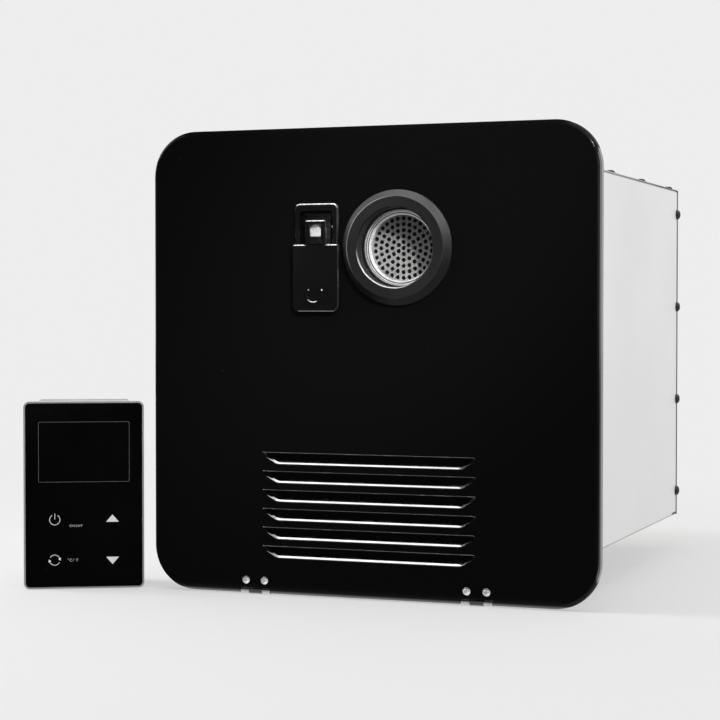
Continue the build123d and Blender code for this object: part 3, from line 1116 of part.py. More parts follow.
# ---------------------------------------------------------------- control box on the left wall
WALL_X = -INNER_WIDTH / 2
BOX_MIDDLE_Y = BOX_FRONT + BOX_LENGTH / 2
BOX_MIDDLE_Z = BOX_BASE + BOX_HEIGHT / 2
BOARD_X = WALL_X + BOX_WALL + STANDOFF
with BuildPart() as control_box_base:
    with Locations((WALL_X, BOX_FRONT, BOX_BASE)):
        Box(BOX_WALL, BOX_LENGTH, BOX_HEIGHT, align=(Align.MIN, Align.MIN, Align.MIN))
    # four standoffs for the board
    for i in (-1, 1):
        for j in (-1, 1):
            post = (WALL_X + BOX_WALL, BOX_MIDDLE_Y + i * BOARD_HOLE_Y, BOX_MIDDLE_Z + j * BOARD_HOLE_Z)
            with Locations(post):
                Box(STANDOFF, STANDOFF_WIDTH, STANDOFF_WIDTH, align=(Align.MIN, Align.CENTER, Align.CENTER))
save(control_box_base, "control_box_base")

with BuildPart() as control_box_cover:
    with Locations((WALL_X + BOX_WALL, BOX_FRONT, BOX_BASE)):
        Box(BOX_DEPTH - BOX_WALL, BOX_LENGTH, BOX_HEIGHT, align=(Align.MIN, Align.MIN, Align.MIN))
    fillet(control_box_cover.edges().filter_by(Axis.X), BOX_CORNER)
    offset(amount=-BOX_WALL, openings=control_box_cover.faces().sort_by(Axis.X)[0])
save(control_box_cover, "control_box_cover")

with BuildPart() as control_board:
    with Locations((BOARD_X, BOX_MIDDLE_Y, BOX_MIDDLE_Z)):
        Box(BOARD_THICK, BOX_LENGTH - 2 * BOARD_MARGIN, BOX_HEIGHT - 2 * BOARD_MARGIN,
            align=(Align.MIN, Align.CENTER, Align.CENTER))
    with Locations((BOARD_X + BOARD_THICK, BOX_FRONT + BOX_LENGTH / 3, BOX_MIDDLE_Z)):
        Box(*TRANSFORMER_SIZE, align=(Align.MIN, Align.CENTER, Align.CENTER))
    with Locations((BOARD_X + BOARD_THICK, BOX_FRONT + BOX_LENGTH * 3 / 4, BOX_BASE + BOX_HEIGHT / 3)):
        Box(*RELAY_SIZE, align=(Align.MIN, Align.CENTER, Align.CENTER))
save(control_board, "control_board")

with BuildPart() as cable_grommet:
    across(CABLE_X, PORT_Z, BODY_DEPTH, CABLE_LIP, CABLE_HOLE_R + CABLE_LIP)
    across(CABLE_X, PORT_Z, BODY_DEPTH - SHEET, SHEET, CABLE_HOLE_R - HOLE_GAP)
    across(CABLE_X, PORT_Z, BODY_DEPTH - SHEET - CABLE_LIP, CABLE_LIP, CABLE_HOLE_R + CABLE_LIP / 2)
    across(CABLE_X, PORT_Z, BODY_DEPTH - SHEET - CABLE_LIP, SHEET + 2 * CABLE_LIP, CABLE_R, Mode.SUBTRACT)
save(cable_grommet, "cable_grommet")

# ---------------------------------------------------------------- wall controller
TURN = radians(CONTROLLER_TURN)


def controller_plane(depth):
    """Upright plane of the controller: local x across it, local y up, depth behind its glass."""
    return Plane(
        origin=(CONTROLLER_X - depth * sin(TURN), CONTROLLER_Y + depth * cos(TURN), 0),
        x_dir=(cos(TURN), sin(TURN), 0),
        z_dir=(sin(TURN), -cos(TURN), 0),
    )


with BuildPart() as controller_housing:
    with BuildSketch(controller_plane(CONTROLLER_DEPTH)):
        with Locations((0, CONTROLLER_HEIGHT / 2)):
            RectangleRounded(CONTROLLER_WIDTH, CONTROLLER_HEIGHT, CONTROLLER_CORNER)
    extrude(amount=CONTROLLER_DEPTH)
    with BuildSketch(controller_plane(0)):
        with Locations((0, CONTROLLER_HEIGHT / 2)):
            RectangleRounded(GLASS_WIDTH, GLASS_HEIGHT, CONTROLLER_CORNER - GLASS_MARGIN)
    extrude(amount=-(CONTROLLER_DEPTH - CONTROLLER_WALL), mode=Mode.SUBTRACT)
    # ledge that the glass rests on
    with BuildSketch(controller_plane(GLASS_THICK)):
        with Locations((0, CONTROLLER_HEIGHT / 2)):
            RectangleRounded(GLASS_WIDTH, GLASS_HEIGHT, CONTROLLER_CORNER - GLASS_MARGIN)
            RectangleRounded(GLASS_WIDTH - 2 * CONTROLLER_WALL, GLASS_HEIGHT - 2 * CONTROLLER_WALL,
                             LEDGE_CORNER, mode=Mode.SUBTRACT)
    extrude(amount=-CONTROLLER_WALL)
save(controller_housing, "controller_housing")

with BuildPart() as controller_glass:
    with BuildSketch(controller_plane(GLASS_THICK)):
        with Locations((0, CONTROLLER_HEIGHT / 2)):
            RectangleRounded(GLASS_WIDTH - 2 * HOLE_GAP, GLASS_HEIGHT - 2 * HOLE_GAP,
                             CONTROLLER_CORNER - GLASS_MARGIN - HOLE_GAP)
    extrude(amount=GLASS_THICK)
save(controller_glass, "controller_glass")

with BuildPart() as controller_display:
    with BuildSketch(controller_plane(BOARD_DEPTH)):
        with Locations((0, CONTROLLER_HEIGHT - SCREEN_DROP)):
            Rectangle(SCREEN_WIDTH, SCREEN_HEIGHT)
    extrude(amount=BOARD_DEPTH - GLASS_THICK - FIT)
save(controller_display, "controller_display")

with BuildPart() as controller_board:
    with BuildSketch(controller_plane(BOARD_DEPTH + BOARD_THICK)):
        with Locations((0, CONTROLLER_HEIGHT / 2)):
            Rectangle(GLASS_WIDTH - 2 * CONTROLLER_WALL, GLASS_HEIGHT - 2 * CONTROLLER_WALL)
    extrude(amount=BOARD_THICK)
save(controller_board, "controller_board")

with BuildPart() as controller_back_box:
    for inset, mode in ((0, Mode.ADD), (CONTROLLER_WALL, Mode.SUBTRACT)):
        rise = HUMP_HEIGHT - 2 * inset
        with BuildSketch(controller_plane(CONTROLLER_DEPTH)):
            with Locations((0, HUMP_HEIGHT / 2)):
                Rectangle(HUMP_WIDTH - 2 * inset, rise)
        with BuildSketch(controller_plane(CONTROLLER_DEPTH + HUMP_DEPTH - inset)):
            with Locations((0, HUMP_HEIGHT / 2)):
                Rectangle(HUMP_WIDTH - 2 * HUMP_TAPER - 2 * inset, rise)
        loft(mode=mode)
save(controller_back_box, "controller_back_box")
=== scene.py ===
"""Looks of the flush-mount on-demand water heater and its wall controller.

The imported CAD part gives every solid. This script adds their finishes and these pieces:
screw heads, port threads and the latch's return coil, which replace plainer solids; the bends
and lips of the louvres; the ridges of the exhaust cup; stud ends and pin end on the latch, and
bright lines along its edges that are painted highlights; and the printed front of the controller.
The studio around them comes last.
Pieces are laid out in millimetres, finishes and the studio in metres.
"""

import math

import bpy
from mathutils import Matrix, Vector


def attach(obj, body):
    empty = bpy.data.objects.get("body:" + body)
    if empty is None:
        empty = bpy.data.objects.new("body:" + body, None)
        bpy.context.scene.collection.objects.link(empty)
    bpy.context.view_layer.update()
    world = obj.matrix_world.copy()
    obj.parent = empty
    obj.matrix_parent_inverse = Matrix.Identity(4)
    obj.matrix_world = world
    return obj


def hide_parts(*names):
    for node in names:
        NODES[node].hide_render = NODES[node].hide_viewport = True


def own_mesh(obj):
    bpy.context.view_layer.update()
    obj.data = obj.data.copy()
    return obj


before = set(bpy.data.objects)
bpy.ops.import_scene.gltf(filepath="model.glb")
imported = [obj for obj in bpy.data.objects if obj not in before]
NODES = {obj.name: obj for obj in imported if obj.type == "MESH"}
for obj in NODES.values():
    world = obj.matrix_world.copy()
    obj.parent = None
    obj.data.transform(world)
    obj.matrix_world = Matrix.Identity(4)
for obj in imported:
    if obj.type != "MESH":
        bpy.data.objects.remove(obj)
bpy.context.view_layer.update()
MM = 0.001

# Places that finishes and pieces share, in millimetres
EXHAUST_X, EXHAUST_Z = 25.5, 283.2
DOOR_FRONT = -12.0


# ------------------------------------------------------------------ shader maths
class Field:
    """A number that varies over a surface; arithmetic on it adds Math nodes."""

    def __init__(self, shader, socket):
        self.shader = shader
        self.socket = socket

    def maths(self, operation, first, second):
        """The field that one Math node gives."""
        node = self.shader.make("ShaderNodeMath", {"operation": operation}, {0: first, 1: second})
        return Field(self.shader, node.outputs[0])

    def __add__(self, other):
        return self.maths("ADD", self, other)

    def __radd__(self, other):
        return self.maths("ADD", other, self)

    def __sub__(self, other):
        return self.maths("SUBTRACT", self, other)

    def __rsub__(self, other):
        return self.maths("SUBTRACT", other, self)

    def __mul__(self, other):
        return self.maths("MULTIPLY", self, other)

    def __rmul__(self, other):
        return self.maths("MULTIPLY", other, self)

    def __gt__(self, other):
        return self.maths("GREATER_THAN", self, other)

    def __lt__(self, other):
        return self.maths("LESS_THAN", self, other)

    def or_brighter(self, other):
        """The larger of two fields."""
        return self.maths("MAXIMUM", self, other)

    def within(self, low, high):
        """1 where this field lies between two values, 0 elsewhere."""
        return (self > low) * (self < high)

    def ramp(self, low, high, start=0.0, end=1.0):
        """Runs smoothly from start to end while this field runs from low to high."""
        sockets = {"Value": self, "From Min": low, "From Max": high, "To Min": start, "To Max": end}
        node = self.shader.make("ShaderNodeMapRange", {"interpolation_type": "SMOOTHSTEP"}, sockets)
        return Field(self.shader, node.outputs["Result"])


class Shader:
    """The nodes of one material or of the world."""

    def __init__(self, tree):
        self.tree = tree

    def make(self, kind, settings=None, sockets=None):
        """Adds one node: its type and settings first, then the values or links of its sockets."""
        node = self.tree.nodes.new(kind)
        for name, value in (settings or {}).items():
            setattr(node, name, value)
        for key, value in (sockets or {}).items():
            self.join(value, node.inputs[key])
        return node

    def join(self, value, socket):
        """Links a field or an output to a socket, or sets a constant on the socket."""
        if isinstance(value, Field):
            value = value.socket
        if isinstance(value, bpy.types.NodeSocket):
            self.tree.links.new(value, socket)
        else:
            socket.default_value = value

    def part(self, vector, letter):
        """The X, Y or Z of a vector."""
        return Field(self, self.make("ShaderNodeSeparateXYZ", sockets={"Vector": vector}).outputs[letter])

    def either(self, share, first, second):
        """The first shader where the share is 0, the second where it is 1."""
        return self.make("ShaderNodeMixShader", sockets={0: share, 1: first, 2: second}).outputs[0]


class Finish(Shader):
    """One surface finish: a Principled shader fed by fields in the object's own coordinates."""

    def __init__(self, name, color, roughness, metallic=0.0, coat=0.0, gloss=0.5):
        self.material = bpy.data.materials.new(name)
        self.material.use_nodes = True
        super().__init__(self.material.node_tree)
        self.surface = self.tree.nodes["Principled BSDF"]
        self.position = self.make("ShaderNodeTexCoord").outputs["Object"]
        self.feed("Base Color", (*color, 1.0))
        self.feed("Roughness", roughness)
        self.feed("Metallic", metallic)
        self.feed("Coat Weight", coat)
        self.feed("Specular IOR Level", gloss)

    def feed(self, name, value):
        """Gives one of the surface's sockets a field or a constant."""
        self.join(value, self.surface.inputs[name])

    def axis(self, letter):
        """The surface point's X, Y or Z in metres."""
        return self.part(self.position, letter)

    def noise(self, size, detail=3.0, stretch=(1.0, 1.0, 1.0)):
        """Cloudy field with features about size metres across, stretched along the axes."""
        scale = [1.0 / (size * share) for share in stretch]
        mapping = self.make("ShaderNodeMapping", sockets={"Vector": self.position, "Scale": scale})
        sockets = {"Vector": mapping.outputs[0], "Scale": 1.0, "Detail": detail}
        return Field(self, self.make("ShaderNodeTexNoise", sockets=sockets).outputs["Fac"])

    def specks(self, spacing, radius):
        """1 inside small scattered dots, 0 elsewhere."""
        node = self.make("ShaderNodeTexVoronoi", sockets={"Vector": self.position, "Scale": 1.0 / spacing})
        return Field(self, node.outputs["Distance"]).ramp(radius / spacing, 0.4 * radius / spacing)

    def edges(self, width):
        """1 where the surface bends outwards within width metres, 0 on flat ground."""
        rounded = self.make("ShaderNodeBevel", {"samples": 4}, {"Radius": width}).outputs["Normal"]
        plain = self.make("ShaderNodeNewGeometry").outputs["Normal"]
        dot = self.make("ShaderNodeVectorMath", {"operation": "DOT_PRODUCT"}, {0: rounded, 1: plain})
        return Field(self, dot.outputs["Value"]).ramp(0.985, 0.85)

    def tint(self, amount, color):
        """Blends the base colour towards another one by a field."""
        base = self.surface.inputs["Base Color"]
        before = base.links[0].from_socket if base.is_linked else tuple(base.default_value)
        sockets = {"Factor": amount, "A": before, "B": (*color, 1.0)}
        blend = self.make("ShaderNodeMix", {"data_type": "RGBA"}, sockets)
        self.feed("Base Color", blend.outputs["Result"])

    def bump(self, height, depth):
        """Raises the surface by the height field times depth metres."""
        node = self.make("ShaderNodeBump", sockets={"Height": height, "Distance": depth})
        self.feed("Normal", node.outputs["Normal"])


# ------------------------------------------------------------------ kinds of finish
SMUDGE_SIZE, CHIP_SIZE, EDGE_RUB, PEEL_SIZE = 0.09, 0.012, 0.0006, 0.0016
DUST_SPACING, DUST_RADIUS = 0.014, 0.0003
STREAK_SIZE, STREAK_DEPTH, STAIN_SIZE = 0.0012, 0.00002, 0.03
CRYSTALS_PER_METRE, BLOOM_SIZE, PITTING_SIZE, PITTING_DEPTH = 130.0, 0.05, 0.0008, 0.00001
SCUFF_SIZE, SCUFF_STRETCH = 0.02, (1.0, 1.0, 0.15)
EVEN_GRAIN = (1.0, 1.0, 1.0)


def grey(level):
    """Neutral colour of one level."""
    return (level, level, level)


def along(letter, stretch):
    """Grain whose streaks are stretched along one axis."""
    return tuple(stretch if axis == letter else 1.0 for axis in "XYZ")


def enamel(name, color, roughness, peel, dust, coat=0.0, gloss=0.5, chip=grey(0.3)):
    """Sprayed enamel on sheet steel: orange peel, faint handling marks, dust and rubbed edges."""
    paint = Finish(name, color, roughness, coat=coat, gloss=gloss)
    smudge = paint.noise(SMUDGE_SIZE, detail=4.0)
    paint.feed("Roughness", smudge.ramp(0.35, 0.7, roughness - 0.05, roughness + 0.08))
    worn = paint.edges(EDGE_RUB) * paint.noise(CHIP_SIZE).ramp(0.5, 0.62)
    paint.tint(paint.specks(DUST_SPACING, DUST_RADIUS) * dust, grey(0.6))
    paint.tint(worn * 0.5, chip)
    paint.bump(paint.noise(PEEL_SIZE, detail=2.0), peel)
    return paint


def rolled(name, color, roughness, grain, stain=0.2, dull=grey(0.2), metallic=1.0, gloss=0.5):
    """Bare rolled, drawn or turned metal with a grain direction and dull patches."""
    metal = Finish(name, color, roughness, metallic=metallic, gloss=gloss)
    streaks = metal.noise(STREAK_SIZE, stretch=grain)
    metal.feed("Roughness", streaks.ramp(0.3, 0.7, roughness - 0.06, roughness + 0.1))
    metal.tint(metal.noise(STAIN_SIZE, detail=5.0).ramp(0.52, 0.75) * stain, dull)
    metal.bump(streaks, STREAK_DEPTH)
    return metal


def zinc_plate(name, color):
    """Galvanised sheet: flat crystals, each with its own tone and sheen, under a white bloom."""
    metal = Finish(name, color, 0.5, metallic=0.75)
    sockets = {"Vector": metal.position, "Scale": CRYSTALS_PER_METRE}
    crystal = Field(metal, metal.make("ShaderNodeTexVoronoi", {"feature": "F1"}, sockets).outputs["Color"])
    metal.tint(crystal.ramp(0.25, 0.75) * 0.16, (0.3, 0.31, 0.33))
    metal.feed("Roughness", crystal.ramp(0.25, 0.75, 0.46, 0.56))
    metal.tint(metal.noise(BLOOM_SIZE, detail=6.0).ramp(0.55, 0.8) * 0.3, (0.7, 0.7, 0.68))
    metal.bump(metal.noise(PITTING_SIZE, detail=2.0), PITTING_DEPTH)
    return metal


def moulding(name, color, roughness, grain=0.0006, depth=0.00003):
    """Injection-moulded plastic or rubber with a fine spark-eroded grain and light scuffs."""
    plastic = Finish(name, color, roughness)
    plastic.bump(plastic.noise(grain, detail=2.0), depth)
    marks = plastic.noise(SCUFF_SIZE, detail=5.0, stretch=SCUFF_STRETCH)
    plastic.feed("Roughness", marks.ramp(0.4, 0.7, roughness - 0.04, roughness + 0.1))
    plastic.tint(marks.ramp(0.6, 0.75) * 0.12, grey(0.2))
    return plastic


def from_exhaust(finish):
    """Squared distance from the exhaust's axis, and the offsets along X and Z."""
    across = finish.axis("X") - EXHAUST_X * MM
    up = finish.axis("Z") - EXHAUST_Z * MM
    return across * across + up * up, across, up


# ------------------------------------------------------------------ cabinet finishes
CASING_WHITE = (0.745, 0.745, 0.755)
# Near black, for painted shade in the casing's seams and for the dark side edges of sheared sheets
SHADE_AND_EDGE_BLACK = grey(0.02)
REAR_SEAM_Y, REAR_CORNER_Y = 0.4222, 0.405
CASING_FOOT_TOP, CASING_FOOT_END = 0.0351, 0.0338
CORNER_FOOT_TOP, CORNER_FOOT_END = 0.0362, 0.0354
SHEARED_SIDE_X, SHEARED_TOP_Z, SHEARED_LENGTH = 0.1608, 0.3501, 0.4


def casing_enamel():
    """Pale enamel with painted shade in the seam to the rear panel, along the bent foot and in the rear
    corner at the foot.
    """
    paint = enamel("casing_paint", CASING_WHITE, 0.4, peel=0.00002, dust=0.25, gloss=0.2, chip=grey(0.45))
    height, depth = paint.axis("Z"), paint.axis("Y")
    # Painted shade: near black in the seam to the rear panel, grey along the bent foot, near black in the
    # rear corner at the foot
    paint.tint(depth > REAR_SEAM_Y, SHADE_AND_EDGE_BLACK)
    paint.tint(height.ramp(CASING_FOOT_TOP, CASING_FOOT_END) * 0.7, grey(0.2))
    paint.tint((depth > REAR_CORNER_Y) * height.ramp(CORNER_FOOT_TOP, CORNER_FOOT_END), SHADE_AND_EDGE_BLACK)
    return paint


def sheared_enamel(name, color):
    """Matt enamel on a flat sheet whose sheared side edges below the top are near black, more so towards the
    rear.
    """
    paint = enamel(name, color, 0.4, peel=0.00002, dust=0.25, gloss=0.0, chip=grey(0.45))
    edge_darkening = (paint.axis("Z") < SHEARED_TOP_Z) * paint.axis("Y").ramp(0.0, SHEARED_LENGTH, 0.1, 1.0)
    for outside in (paint.axis("X") > SHEARED_SIDE_X, paint.axis("X") < -SHEARED_SIDE_X):
        paint.tint(outside * edge_darkening, SHADE_AND_EDGE_BLACK)
    return paint


casing_paint = casing_enamel()
# Painted shade: the top's enamel is made darker than the sides' white, against the overhead lamp's light on
# it
top_paint = sheared_enamel("top_paint", (0.62, 0.62, 0.628))
top_paint.tint(top_paint.noise(0.12, detail=5.0).ramp(0.45, 0.75) * 0.3, grey(0.5))
rear_paint = sheared_enamel("rear_paint", CASING_WHITE)
flange_paint = enamel("flange_paint", (0.62, 0.62, 0.63), 0.42, peel=0.00002, dust=0.2, chip=grey(0.4))
screw_zinc = rolled(
    "screw_zinc", (0.02, 0.02, 0.021), 0.3, EVEN_GRAIN, stain=0.15, dull=grey(0.04), metallic=0.2, gloss=0.2
)
# Painted shade: the top screws take a darker, less glossy copy of the side screws' finish
shaded_top_screw_zinc = rolled(
    "shaded_top_screw_zinc", grey(0.006), 0.5, EVEN_GRAIN, stain=0.15, dull=grey(0.03), metallic=0.0, gloss=0.05
)

# ------------------------------------------------------------------ door finishes
SIDE_BEND_START, SIDE_BEND_END = 0.187, 0.1885
FOOT_EDGE_START, FOOT_EDGE_END = 0.0038, 0.0022
CREST_START, CREST_END = 0.3785, 0.3765
FLAT_COAT, COAT_ROUGHNESS = 0.12, 0.12
MOUTH_INNER, MOUTH_OUTER, MOUTH_FRONT = 0.0318, 0.0326, -0.0189
BEVEL_INNER, BEVEL_OUTER = 0.0402, 0.0408


def access_door_enamel():
    """Deep black enamel: thick coat on the side bends and foot, thin on the flat, none at the crest."""
    paint = enamel("door_enamel", (0.0036, 0.0036, 0.0037), 0.3, peel=0.00001, dust=0.3, gloss=0.0)
    across, height = paint.axis("X"), paint.axis("Z")
    right_bend = across.ramp(SIDE_BEND_START, SIDE_BEND_END)
    left_bend = across.ramp(-SIDE_BEND_START, -SIDE_BEND_END)
    foot = height.ramp(FOOT_EDGE_START, FOOT_EDGE_END)
    below_crest = height.ramp(CREST_START, CREST_END)
    paint.feed("Coat Weight", (right_bend + left_bend + foot + FLAT_COAT) * below_crest)
    paint.feed("Coat Roughness", COAT_ROUGHNESS)
    return paint


def exhaust_ring_enamel():
    """Grained black enamel with painted highlights at the mouth's lower left and the bevel's upper left."""
    black = (0.0015, 0.0015, 0.0016)
    paint = enamel("ring_enamel", black, 0.46, peel=0.00009, dust=0.5, gloss=0.42, chip=grey(0.12))
    paint.tint(paint.noise(0.0011, detail=2.0).ramp(0.54, 0.72) * 0.4, grey(0.03))
    reach, across, up = from_exhaust(paint)
    # Painted highlights: light grey low on the left of the mouth's edge and high on the left of the bevel
    mouth = reach.within(MOUTH_INNER**2, MOUTH_OUTER**2) * (paint.axis("Y") < MOUTH_FRONT)
    paint.tint(mouth * (across * -0.5 - up * 0.87).ramp(0.016, 0.03) * 0.8, grey(0.6))
    bevel = reach.within(BEVEL_INNER**2, BEVEL_OUTER**2)
    paint.tint(bevel * (up * 0.5 - across * 0.86).ramp(0.018, 0.034) * 0.6, grey(0.3))
    return paint


door_enamel = access_door_enamel()
bend_enamel = enamel("bend_enamel", grey(0.01), 0.16, peel=0.000001, dust=0.0, coat=1.0, gloss=1.0)
lip_enamel = enamel("lip_enamel", grey(0.006), 0.16, peel=0.000004, dust=0.1, coat=0.6)
ring_enamel = exhaust_ring_enamel()
latch_enamel = enamel(
    "latch_enamel", (0.003, 0.003, 0.0032), 0.13, peel=0.000003, dust=0.3, coat=1.0, gloss=1.0
)
hinge_black = enamel("hinge_black", grey(0.006), 0.4, peel=0.00002, dust=0.2)
# Bright steel for the stud and pin ends; it also paints the bright highlight lines along the latch's edges
bright_steel_and_highlight = rolled("bright_steel_and_highlight", grey(0.8), 0.25, EVEN_GRAIN, stain=0.05, metallic=0.6)

# ------------------------------------------------------------------ bare metal finishes
KNUCKLE_TOP_START, KNUCKLE_TOP_END = 0.0029, 0.0036
RIVET_SHADE_START, RIVET_SHADE_END = 0.0122, 0.0138
KEEPER_TIP_Y, KEEPER_SHADE_START, KEEPER_SHADE_END = -0.012, 0.3005, 0.3035
TUBE_LIP_Y = -0.0052
SCREEN_RIM_Y, GROOVE_INNER, GROOVE_OUTER = 0.0023, 0.0278, 0.0286
SCREEN_SHADE_START, SCREEN_SHADE_END = -0.02, 0.024
HEAT_HAZE = (0.4, 0.38, 0.36)
BLUED_STEEL = (0.12, 0.1, 0.12)
BURNT_COPPER, DARK_COPPER, DARK_BRASS = (0.22, 0.1, 0.07), (0.3, 0.14, 0.09), (0.35, 0.25, 0.12)


def latch_keeper_zinc():
    """Bright zinc, shaded at the top of its tip in the latch's recess."""
    metal = rolled("keeper_zinc", (0.85, 0.85, 0.86), 0.32, along("Y", 6.0), stain=0.1, metallic=0.5)
    height = metal.axis("Z") + metal.noise(0.004) * 0.005
    tip = metal.axis("Y") < KEEPER_TIP_Y
    metal.tint(height.ramp(KEEPER_SHADE_START, KEEPER_SHADE_END) * tip * 0.8, grey(0.06))
    return metal


def exhaust_screen_steel():
    """Perforated steel: painted shade towards the upper right, a bright front and painted shade in a groove
    round the holes.
    """
    metal = rolled("screen_steel", grey(0.36), 0.36, along("X", 9.0), stain=0.15, metallic=0.1, gloss=0.2)
    reach, across, up = from_exhaust(metal)
    # Painted shade, darker towards the upper right
    metal.tint((across * 0.45 + up * 0.9).ramp(SCREEN_SHADE_START, SCREEN_SHADE_END) * 0.85, grey(0.06))
    metal.tint((metal.axis("Y") < SCREEN_RIM_Y) * 0.95, grey(0.75))
    # Painted shade in the groove round the holes
    metal.tint(reach.within(GROOVE_INNER**2, GROOVE_OUTER**2) * 0.95, grey(0.04))
    return metal


knuckle_zinc = rolled("knuckle_zinc", (0.34, 0.34, 0.35), 0.4, along("X", 6.0), metallic=0.5)
knuckle_zinc.tint(knuckle_zinc.axis("Z").ramp(KNUCKLE_TOP_START, KNUCKLE_TOP_END), grey(0.01))
rivet_zinc = rolled("rivet_zinc", (0.62, 0.62, 0.63), 0.34, EVEN_GRAIN, stain=0.3, metallic=0.5, gloss=0.1)
# Painted shade on the rivet heads' upper parts
rivet_zinc.tint(rivet_zinc.axis("Z").ramp(RIVET_SHADE_START, RIVET_SHADE_END) * 0.9, grey(0.03))
keeper_zinc = latch_keeper_zinc()
panel_zinc = zinc_plate("panel_zinc", (0.56, 0.57, 0.58))
duct_zinc = zinc_plate("duct_zinc", (0.5, 0.5, 0.52))
flue_steel = rolled("flue_steel", grey(0.7), 0.3, along("Y", 14.0), stain=0.12, dull=HEAT_HAZE, metallic=0.5)
flue_steel.tint((flue_steel.axis("Y") > TUBE_LIP_Y) * 0.9, grey(0.08))
cup_steel = rolled("cup_steel", grey(0.85), 0.3, along("Y", 14.0), stain=0.1, dull=HEAT_HAZE, metallic=0.4)
screen_steel = exhaust_screen_steel()
burner_steel = rolled("burner_steel", (0.36, 0.34, 0.33), 0.45, along("Y", 9.0), stain=0.5, dull=BLUED_STEEL)
spring_steel = rolled("spring_steel", (0.42, 0.42, 0.43), 0.32, along("X", 6.0), stain=0.1)
heated_copper = rolled(
    "heated_copper", (0.72, 0.36, 0.22), 0.36, along("X", 9.0), stain=0.6, dull=BURNT_COPPER
)
pipe_copper = rolled("pipe_copper", (0.78, 0.42, 0.27), 0.3, along("Z", 12.0), stain=0.35, dull=DARK_COPPER)
port_brass = rolled("port_brass", (0.78, 0.6, 0.3), 0.3, EVEN_GRAIN, stain=0.25, dull=DARK_BRASS)
cast_body = moulding("cast_body", (0.45, 0.46, 0.47), 0.5, grain=0.0011, depth=0.00008)
gas_pipe_finish = rolled("gas_pipe_finish", (0.62, 0.63, 0.64), 0.4, along("Z", 12.0))

# ------------------------------------------------------------------ plastic, glass and print finishes
black_moulding = moulding("black_moulding", (0.02, 0.02, 0.021), 0.5)
rocker_moulding = moulding("rocker_moulding", grey(0.012), 0.32)
grey_moulding = moulding("grey_moulding", (0.4, 0.4, 0.41), 0.45)
back_box_moulding = moulding("back_box_moulding", (0.115, 0.115, 0.12), 0.42)
rubber_moulding = moulding("rubber_moulding", grey(0.015), 0.65)
rim_moulding = moulding("rim_moulding", (0.36, 0.36, 0.37), 0.3, depth=0.00001)
laminate = moulding("laminate", (0.02, 0.13, 0.06), 0.35, grain=0.0012, depth=0.00004)
front_acrylic = enamel("front_acrylic", (0.0008, 0.0008, 0.001), 0.12, peel=0.000002, dust=0.15, gloss=0.25)
display_glass = enamel("display_glass", (0.02, 0.024, 0.024), 0.15, peel=0.000002, dust=0.1, coat=0.5)
print_white = moulding("print_white", (0.9, 0.9, 0.91), 0.45, depth=0.000003)
print_grey = moulding("print_grey", (0.22, 0.22, 0.23), 0.45, depth=0.000003)

NODE_FINISH = {
    casing_paint: "casing_wrap",
    top_paint: "top_cover",
    rear_paint: "rear_panel",
    flange_paint: "mounting_frame",
    door_enamel: "access_door",
    ring_enamel: "exhaust_grommet",
    latch_enamel: "latch_bezel latch_slide",
    hinge_black: "hinge_frame_leaves",
    knuckle_zinc: "hinge_door_leaves",
    screw_zinc: "rear_panel_screws",
    shaded_top_screw_zinc: "top_cover_screws",
    rivet_zinc: "hinge_door_rivets hinge_frame_rivets",
    spring_steel: "latch_spring turbine_axle blower_shaft hinge_pins latch_retainer",
    keeper_zinc: "latch_keeper",
    panel_zinc: "service_panel",
    duct_zinc: "flue_hood volute_housing combustion_chamber burner_tray gas_manifold",
    flue_steel: "exhaust_tube",
    screen_steel: "exhaust_screen",
    burner_steel: "burner_bars ignition_electrodes",
    heated_copper: "exchanger_fins exchanger_shell exchanger_tube",
    pipe_copper: "water_risers cold_pipes hot_pipe",
    port_brass: "gas_inlet_fitting cold_inlet_fitting hot_outlet_fitting water_tees drain_plugs",
    cast_body: "gas_valve blower_motor",
    gas_pipe_finish: "gas_pipe",
    black_moulding: "switch_body igniter_module flow_sensor control_box_base control_box_cover",
    rocker_moulding: "switch_rocker",
    grey_moulding: "blower_impeller flow_turbine",
    back_box_moulding: "controller_back_box",
    rubber_moulding: "cable_grommet",
    rim_moulding: "controller_housing",
    laminate: "control_board controller_board",
    front_acrylic: "controller_glass",
    display_glass: "controller_display",
}
for finish, names in NODE_FINISH.items():
    for name in names.split():
        NODES[name].data.materials.clear()
        NODES[name].data.materials.append(finish.material)


# ------------------------------------------------------------------ ways to make a piece
def piece(name, vertices, faces, finish, body, smooth=None):
    """Makes one mesh piece that rides on a CAD body and takes the given finish."""
    mesh = bpy.data.meshes.new(name)
    mesh.from_pydata(vertices, [], faces)
    mesh.materials.append(finish.material)
    mesh.update()
    if smooth is not None:
        mesh.shade_smooth()
        mesh.set_sharp_from_angle(angle=math.radians(smooth))
    made = bpy.data.objects.new(name, mesh)
    bpy.context.scene.collection.objects.link(made)
    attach(made, body)
    return made


def grid_faces(rows, columns, flip=False):
    """Quads between the rows of a tube-like grid whose columns close on themselves."""
    faces = []
    for row in range(rows - 1):
        for column in range(columns):
            after = (column + 1) % columns
            quad = [
                row * columns + column,
                row * columns + after,
                (row + 1) * columns + after,
                (row + 1) * columns + column,
            ]
            faces.append(quad[::-1] if flip else quad)
    return faces


def circle(radius, steps=10):
    """Points of a circle, listed once round."""
    angles = [2 * math.pi * step / steps for step in range(steps)]
    return [(radius * math.cos(angle), radius * math.sin(angle)) for angle in angles]


def arc(across, up, radius, start, sweep, steps=28):
    """Points along an arc, by its centre, radius and angles in degrees."""
    angles = [math.radians(start + sweep * step / steps) for step in range(steps + 1)]
    return [(across + radius * math.cos(angle), up + radius * math.sin(angle)) for angle in angles]


def swell(share):
    """Eases from 0 to 1."""
    return share * share * (3 - 2 * share)


def faded(path, rise, fall):
    """Sizes along a path that swell over its first points and fade over its last."""
    last = len(path) - 1
    return [swell(min(i / rise, (last - i) / fall, 1.0)) for i in range(last + 1)]


